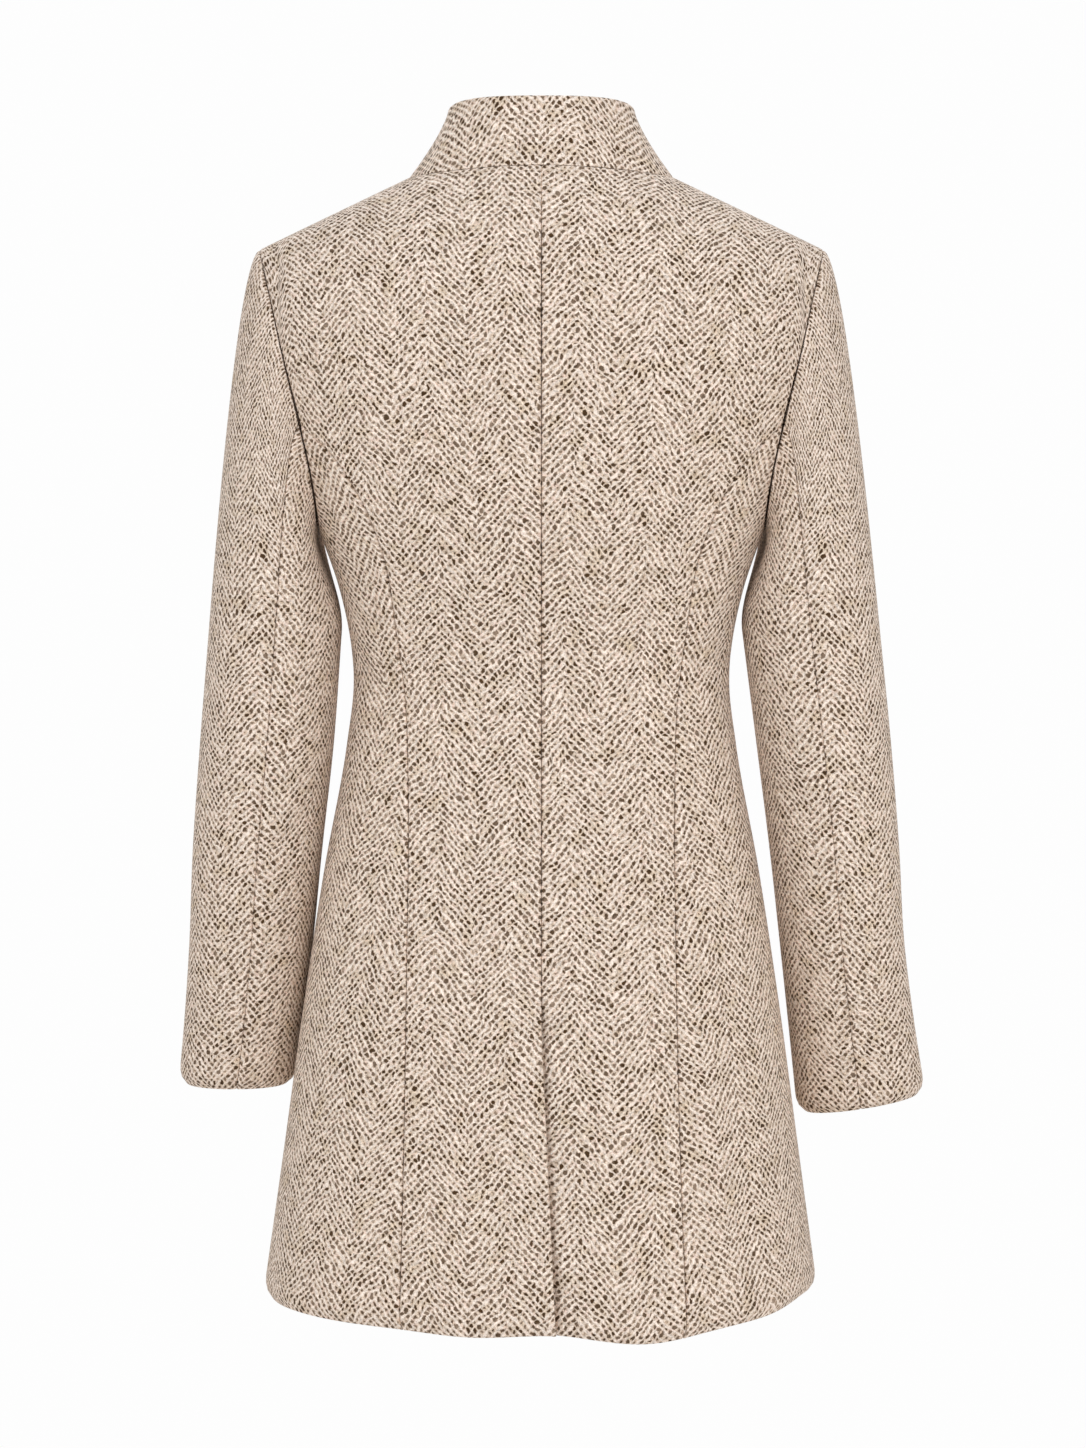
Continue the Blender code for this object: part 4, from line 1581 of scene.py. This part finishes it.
@dataclass(frozen=True)
class TweedFinish:
    """Brushed wool tweed in a herringbone weave: dark dots between cream ribs that turn at each stripe."""

    cream: Colour = (0.98, 0.86, 0.76)
    ground: Colour = (0.74, 0.61, 0.5)
    brown: Colour = (0.415, 0.263, 0.15)
    dark: Colour = (0.079, 0.041, 0.016)
    rose: Colour = (0.89, 0.665, 0.575)
    straw: Colour = (0.81, 0.635, 0.43)
    stripe: float = 27.0
    rise: float = 2.95
    pitch: float = 2.7
    dot_long: float = 0.3
    dot_short: float = 0.29
    drawn_out: float = 1.08
    uneven: float = 0.3
    uneven_across: float = 3.7
    uneven_up: float = 0.018
    lopsided: float = 0.08
    wavers: tuple[Waver, Waver, Waver] = (Waver(42, 7, 9), Waver(13, 4, 4), Waver(4.2, 3.2, 3.2))
    fuzz_size: float = 0.85
    nub_size: float = 1.7
    strand_scale: tuple[float, float, float] = (1.3, 3.6, 5.3)
    stray_long: float = 0.2
    stray_short: float = 0.18
    fray_fuzz: float = 1.7
    fray_strand: float = 1.1
    fray_chance: float = 1.3
    dot_edge: Ramp = Ramp(0.5, 1.2)
    rim_edge: Ramp = Ramp(0.9, 2.4)
    rim_share: float = 0.4
    rib_edge: Ramp = Ramp(0.2, 0.46)
    cross_edge: Ramp = Ramp(0.3, 0.5)
    cross_share: float = 0.25
    rose_from: float = 0.53
    rose_gain: float = 2.4
    straw_from: float = 0.54
    straw_gain: float = 2.0
    dye: float = 0.7
    dye_chance: float = 0.3
    dye_patch: float = 0.4
    dye_tone: float = 1.0
    reshuffle: float = 7.31
    light_strand: float = 0.8
    light_nub: float = 0.9
    light_fuzz: float = 0.8
    light_tone: float = 0.3
    rough: float = 0.84
    rough_fuzz: float = 0.14
    height_rib: float = 0.6
    height_dot: float = 0.5
    height_fuzz: float = 0.5
    height_strand: float = 0.6
    relief: Relief = Relief(0.55, 0.7 * MM)

    def material(self) -> Material:
        """Makes the material. It reads the cloth's own weave map, in metres.

        Returns:
            The material.
        """
        graph = Graph(bpy.data.materials.new("tweed"))
        where = graph.value("ShaderNodeUVMap", {"uv_map": WEAVE}, {})
        place = graph.value("ShaderNodeVectorMath", {"operation": "SCALE"}, {0: where, "Scale": 1 / MM})
        u, v, _ = graph.parts(place)
        moods = []
        for waver in self.wavers:
            bend_u, bend_v, mood = graph.parts(graph.noise(place, waver.size, detail=1.0, output="Color"))
            u, v = u + bend_u.sway(waver.across), v + bend_v.sway(waver.up)
            moods.append(mood)
        patch, tone, fleck = moods
        fuzz = graph.noise(place, self.fuzz_size, detail=2.0)
        nub = graph.noise(place, self.nub_size, detail=1.0)
        stripe, odd, p, q = self.lattice(graph, u, v)
        cell_p, cell_q = math.floor(p + 0.5), math.floor(q + 0.5)
        shift_p, shift_q, chance = graph.parts(graph.value(
            "ShaderNodeTexWhiteNoise", {"noise_dimensions": "3D"},
            {"Vector": graph.vector(cell_p, cell_q, stripe)}, "Color",
        ))
        off_p = p - cell_p + shift_p.sway(self.stray_long)
        off_q = q - cell_q + shift_q.sway(self.stray_short)
        scaled = (part * scale for part, scale in zip((p, q, stripe), self.strand_scale))
        strand = graph.noise(graph.vector(*scaled), size=1.0, detail=1.0)
        drawn = graph.noise(graph.vector(stripe * self.uneven_across, v * self.uneven_up), size=1.0)
        stretch = self.drawn_out + drawn.sway(self.uneven) - odd.sway(self.lopsided)
        long, short = off_p / (self.dot_long * stretch), off_q * stretch / self.dot_short
        frayed = fuzz.sway(self.fray_fuzz) + strand.sway(self.fray_strand) + chance.sway(self.fray_chance)
        ragged = long * long + short * short + frayed
        dot, rim = 1 - ragged.step(*self.dot_edge), 1 - ragged.step(*self.rim_edge)
        rib = abs(off_q).step(*self.rib_edge) + abs(off_p).step(*self.cross_edge) * self.cross_share
        depth = graph.math("FRACT", chance * self.reshuffle)
        dye = self.dye + self.dye_chance * depth + patch.sway(self.dye_patch) + tone.sway(self.dye_tone)
        light = 1 + strand.sway(self.light_strand) + nub.sway(self.light_nub)
        light = light + fuzz.sway(self.light_fuzz) - tone.sway(self.light_tone)
        colour = graph.mix(rib, self.ground, self.cream)
        colour = graph.mix((fleck - self.rose_from) * self.rose_gain, colour, self.rose)
        colour = graph.mix((tone - self.straw_from) * self.straw_gain, colour, self.straw)
        colour = graph.mix(rim * self.rim_share, colour, self.brown)
        colour = graph.mix(dot * dye, colour, self.dark)
        shade = graph.value("ShaderNodeCombineColor", {}, {0: light, 1: light, 2: light})
        height = rib * self.height_rib - dot * self.height_dot
        height = height + fuzz * self.height_fuzz + strand * self.height_strand
        return graph.shade(
            Base_Color=graph.mix(1.0, colour, shade, "MULTIPLY"),
            Roughness=self.rough + self.rough_fuzz * fuzz, Normal=graph.bump(height, *self.relief),
            Specular_IOR_Level=0.15, Sheen_Weight=0.05, Sheen_Roughness=0.6,
        )

    def lattice(self, graph: Graph, u: Value, v: Value) -> tuple[Value, Value, Value, Value]:
        """Lays the dots of the weave out on slanting lines that turn at each stripe.

        Args:
            graph: The material's nodes.
            u: Distance across the cloth.
            v: Distance up it.

        Returns:
            The stripe's number, whether that is odd, and places along and across its slanting lines.
        """
        stripe = math.floor(u / self.stripe)
        up, over = v / self.rise, graph.math("PINGPONG", u, self.stripe) / self.pitch
        return stripe, graph.math("PINGPONG", stripe, 1.0), (up + over) * 0.5, (up - over) * 0.5


@dataclass(frozen=True)
class HornFinish:
    """Dark horn-like plastic with paler streaks."""

    dark: Colour = (0.045, 0.028, 0.018)
    streak: Colour = (0.2, 0.12, 0.07)
    drawn: tuple[float, float, float] = (0.35, 1.0, 1.0)
    streak_size: float = 4 * MM
    streak_edge: Ramp = Ramp(0.42, 0.72)
    grain_size: float = 0.5 * MM
    rough: float = 0.26
    rough_grain: float = 0.2
    relief: Relief = Relief(0.15, 0.1 * MM)

    def material(self) -> Material:
        """Makes the material.

        Returns:
            The material.
        """
        graph = Graph(bpy.data.materials.new("button_horn"))
        where = graph.place()
        drawn = graph.value("ShaderNodeMapping", {}, {"Vector": where, "Scale": self.drawn})
        streak = graph.noise(drawn, self.streak_size, detail=4.0).step(*self.streak_edge)
        grain = graph.noise(where, self.grain_size, detail=2.0)
        return graph.shade(
            Base_Color=graph.mix(streak, self.dark, self.streak),
            Roughness=self.rough + self.rough_grain * grain,
            Normal=graph.bump(grain + streak, *self.relief), Coat_Weight=0.25, Coat_Roughness=0.2,
        )


@dataclass(frozen=True)
class ThreadFinish:
    """Matt sewing thread, twisted, with painted shade in the grooves of its twist."""

    pale: Colour = (0.3, 0.22, 0.16)
    deep: Colour = (0.13, 0.09, 0.065)
    lay: float = 0.5 * MM
    slant: float = 0.5
    fuzz_size: float = 0.25 * MM
    # Share of the twist in the colour: painted shade, darker in the twist's grooves
    painted_groove_shade: float = 0.35
    tint_fuzz: float = 0.6
    rough: float = 0.7
    rough_fuzz: float = 0.2
    height_twist: float = 0.5
    relief: Relief = Relief(0.4, 0.15 * MM)

    def material(self) -> Material:
        """Makes the material.

        Returns:
            The material.
        """
        graph = Graph(bpy.data.materials.new("sewing_thread"))
        where = graph.place()
        x, _, z = graph.parts(where)
        twist = graph.math("SINE", (x + self.slant * z) * (math.tau / self.lay))
        fuzz = graph.noise(where, self.fuzz_size, detail=2.0)
        # Colour: painted shade in the twist's grooves, plus random fibre tone from the fuzz
        groove_shade_and_fibre_tone = twist * self.painted_groove_shade + fuzz * self.tint_fuzz
        return graph.shade(
            Base_Color=graph.mix(groove_shade_and_fibre_tone, self.deep, self.pale), Roughness=self.rough + self.rough_fuzz * fuzz,
            Normal=graph.bump(twist * self.height_twist + fuzz, *self.relief),
        )


@dataclass(frozen=True)
class FloorFinish:
    """Pale matt floor."""

    pale: Colour = (0.86, 0.86, 0.855)
    worn: Colour = (0.82, 0.82, 0.815)
    cloud_size: float = 0.5
    rough: float = 0.6
    rough_cloud: float = 0.2

    def material(self) -> Material:
        """Makes the material.

        Returns:
            The material.
        """
        graph = Graph(bpy.data.materials.new("pale_floor"))
        cloud = graph.noise(graph.place(), self.cloud_size, detail=3.0)
        return graph.shade(
            Base_Color=graph.mix(cloud, self.pale, self.worn),
            Roughness=self.rough + self.rough_cloud * cloud,
        )


DAYLIGHT: Colour = (0.985, 1.0, 1.03)
WARM: Colour = (1.0, 0.74, 0.48)
WHITE: Colour = (1.0, 1.0, 1.0)


class Lamp(NamedTuple):
    """A soft light: its place, size, power and colour."""

    name: str
    place: tuple[float, float, float]
    size: float
    power: float
    colour: Colour


@dataclass(frozen=True)
class Studio:
    """Plain pale floor, soft light and the camera."""

    floor_z: float = -1.42
    floor_radius: float = 1.85
    floor_sides: int = 96
    lens: float = 103.9
    sensor: float = 36
    camera_place: tuple[float, float, float] = (-0.0011, 3.0, -0.163)
    camera_aim: tuple[float, float, float] = (-0.0011, 0.0, -0.396)
    aim: tuple[float, float, float] = (0.0, 0.0, -0.42)
    sky: float = 0.53
    backdrop: float = 0.985
    lamps: tuple[Lamp, ...] = (
        Lamp("key", (0.9, 2.8, 1.8), 1.8, 28.5, DAYLIGHT),
        Lamp("fill", (-1.3, 2.7, 1.2), 1.6, 21, DAYLIGHT),
        Lamp("front_key", (-0.9, -2.8, 1.8), 1.8, 28.5, DAYLIGHT),
        Lamp("front_fill", (1.3, -2.7, 1.2), 1.6, 21, DAYLIGHT),
        Lamp("left_glow", (2.4, 0.3, -0.9), 1.2, 3, WARM),
        Lamp("right_glow", (-2.4, 0.3, -0.9), 1.2, 4, WARM),
        Lamp("low_glow", (-0.2, 2.6, -1.3), 1.2, 3.8, WARM),
        Lamp("front_glow", (0.2, -2.6, -1.3), 1.2, 3.8, WARM),
    )

    def build(self, finish: Material) -> None:
        """Sets up the floor, the lights, the world and the camera.

        Args:
            finish: The floor's material.
        """
        build = bmesh.new()
        bmesh.ops.create_circle(
            build, cap_ends=True, segments=self.floor_sides, radius=self.floor_radius,
            matrix=Matrix.Translation((0, 0, self.floor_z)),
        )
        floor = joined(build, "floor")
        floor.data.materials.append(finish)
        for lamp in self.lamps:
            light = bpy.data.lights.new(lamp.name, "AREA")
            light.shape = "DISK"
            light.size = lamp.size
            light.energy = lamp.power
            light.color = lamp.colour
            self.aimed(bpy.data.objects.new(lamp.name, light), lamp.place, self.aim)
        self.light_world()
        camera = bpy.data.cameras.new("camera")
        camera.lens = self.lens
        camera.sensor_width = self.sensor
        bpy.context.scene.camera = self.aimed(
            bpy.data.objects.new("camera", camera), self.camera_place, self.camera_aim
        )
        bpy.context.scene.view_settings.view_transform = "Standard"

    def aimed(self, obj: Piece, place: Sequence[float], aim: Sequence[float]) -> Piece:
        """Places a lamp or a camera and turns it to what it looks at.

        Args:
            obj: The lamp or the camera.
            place: Where it goes.
            aim: What it looks at.

        Returns:
            The same object, in the scene.
        """
        obj.location = place
        obj.rotation_euler = (Vector(aim) - Vector(place)).to_track_quat("-Z", "Y").to_euler()
        bpy.context.scene.collection.objects.link(obj)
        return obj

    def light_world(self) -> None:
        """Makes an even sky that lights softly and shows as a near-white backdrop."""
        graph = Graph(bpy.data.worlds.new("studio"))
        bpy.context.scene.world = graph.owner
        sky = graph.tree.nodes["Background"]
        graph.feed(sky, {"Color": WHITE, "Strength": self.sky})
        seen = graph.value("ShaderNodeBackground", {}, {"Color": WHITE, "Strength": self.backdrop})
        ray = graph.value("ShaderNodeLightPath", {}, {}, "Is Camera Ray")
        chosen = graph.value("ShaderNodeMixShader", {}, {0: ray, 1: Value(graph, sky.outputs[0]), 2: seen})
        graph.feed(graph.tree.nodes["World Output"], {"Surface": chosen})


# Start, end, depth and width of each crease, by the piece and the face that it is seen from
FOLDS: dict[tuple[str, Facing], tuple[tuple[Any, ...], ...]] = {
    ("back", Facing.BACK): (
        ((28, -128), (11, -190), -1.7, 9), ((66, -176), (15, -200), 1.5, 9),
        ((-58, -150), (-92, -232), 1.4, 12), ((64, -398), (9, -436), 1.7, 8),
        ((54, -412), (5, -448), -1.9, 8), ((-84, -362), (-22, -388), 1.7, 9),
        ((-72, -404), (-30, -430), -1.4, 9),
    ),
    ("side", Facing.BACK): (
        ((134, -352), (100, -376), 2.0, 10), ((-136, -344), (-104, -368), 2.0, 10),
        ((118, -470), (127, -600), 1.5, 11), ((-111, -512), (-121, -768), -2.0, 9),
        ((-127, -530), (-146, -757), 1.8, 10),
    ),
    ("front", Facing.FRONT): (
        ((96, -236), (52, -290), 1.4, 12), ((-92, -228), (-46, -296), 1.5, 12),
        ((98, -356), (34, -384), 1.7, 10), ((-100, -366), (-30, -396), 1.5, 10),
        ((-88, -404), (-36, -420), -1.2, 9), ((92, -520), (104, -742), 1.8, 13),
        ((-84, -560), (-94, -760), -1.7, 12),
    ),
    ("side", Facing.FRONT): (
        ((136, -350), (108, -378), 1.7, 10), ((-138, -356), (-110, -372), 1.7, 10),
    ),
    ("sleeve", Facing.BACK): (
        ((178, -206), (197, -262), -1.7, 10), ((-180, -214), (-199, -284), -1.4, 11),
        ((160, -452), (196, -492), 2.5, 9), ((212, -428), (182, -462), 1.8, 9),
        ((-172, -438), (-204, -470), 2.5, 9), ((-232, -512), (-196, -540), 1.5, 10),
        ((238, -566), (202, -588), 1.4, 10),
    ),
    ("sleeve", Facing.FRONT): (
        ((162, -418), (218, -440), 2.5, 9), ((168, -462), (232, -476), 2.8, 9),
        ((174, -508), (224, -502), 1.9, 10), ((-166, -430), (-222, -444), 2.4, 9),
        ((-172, -474), (-238, -482), 2.8, 9), ((-184, -522), (-230, -512), 1.8, 10),
        ((204, -582), (248, -600), 1.3, 10),
    ),
}
CREASES = tuple(Crease(*seen, *fold) for seen, folds in FOLDS.items() for fold in folds)


def main() -> None:
    """Dresses the coat."""
    logging.basicConfig(level=logging.INFO, format="%(message)s")
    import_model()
    form, tailoring = BodyForm(), Tailoring()
    tweed = TweedFinish().material()
    panels = BodyPanels(form, tailoring, CREASES)
    panels.build_backs(tweed)
    panels.build_sides(tweed)
    panels.build_fronts(tweed)
    StandCollar(form, tailoring).build(tweed)
    sleeves = Sleeves(form, tailoring, CREASES)
    for side in Side:
        sleeves.build(side, tweed)
    Buttons(form).build(HornFinish().material(), ThreadFinish().material())
    Studio().build(FloorFinish().material())


if __name__ == "__main__":
    main()
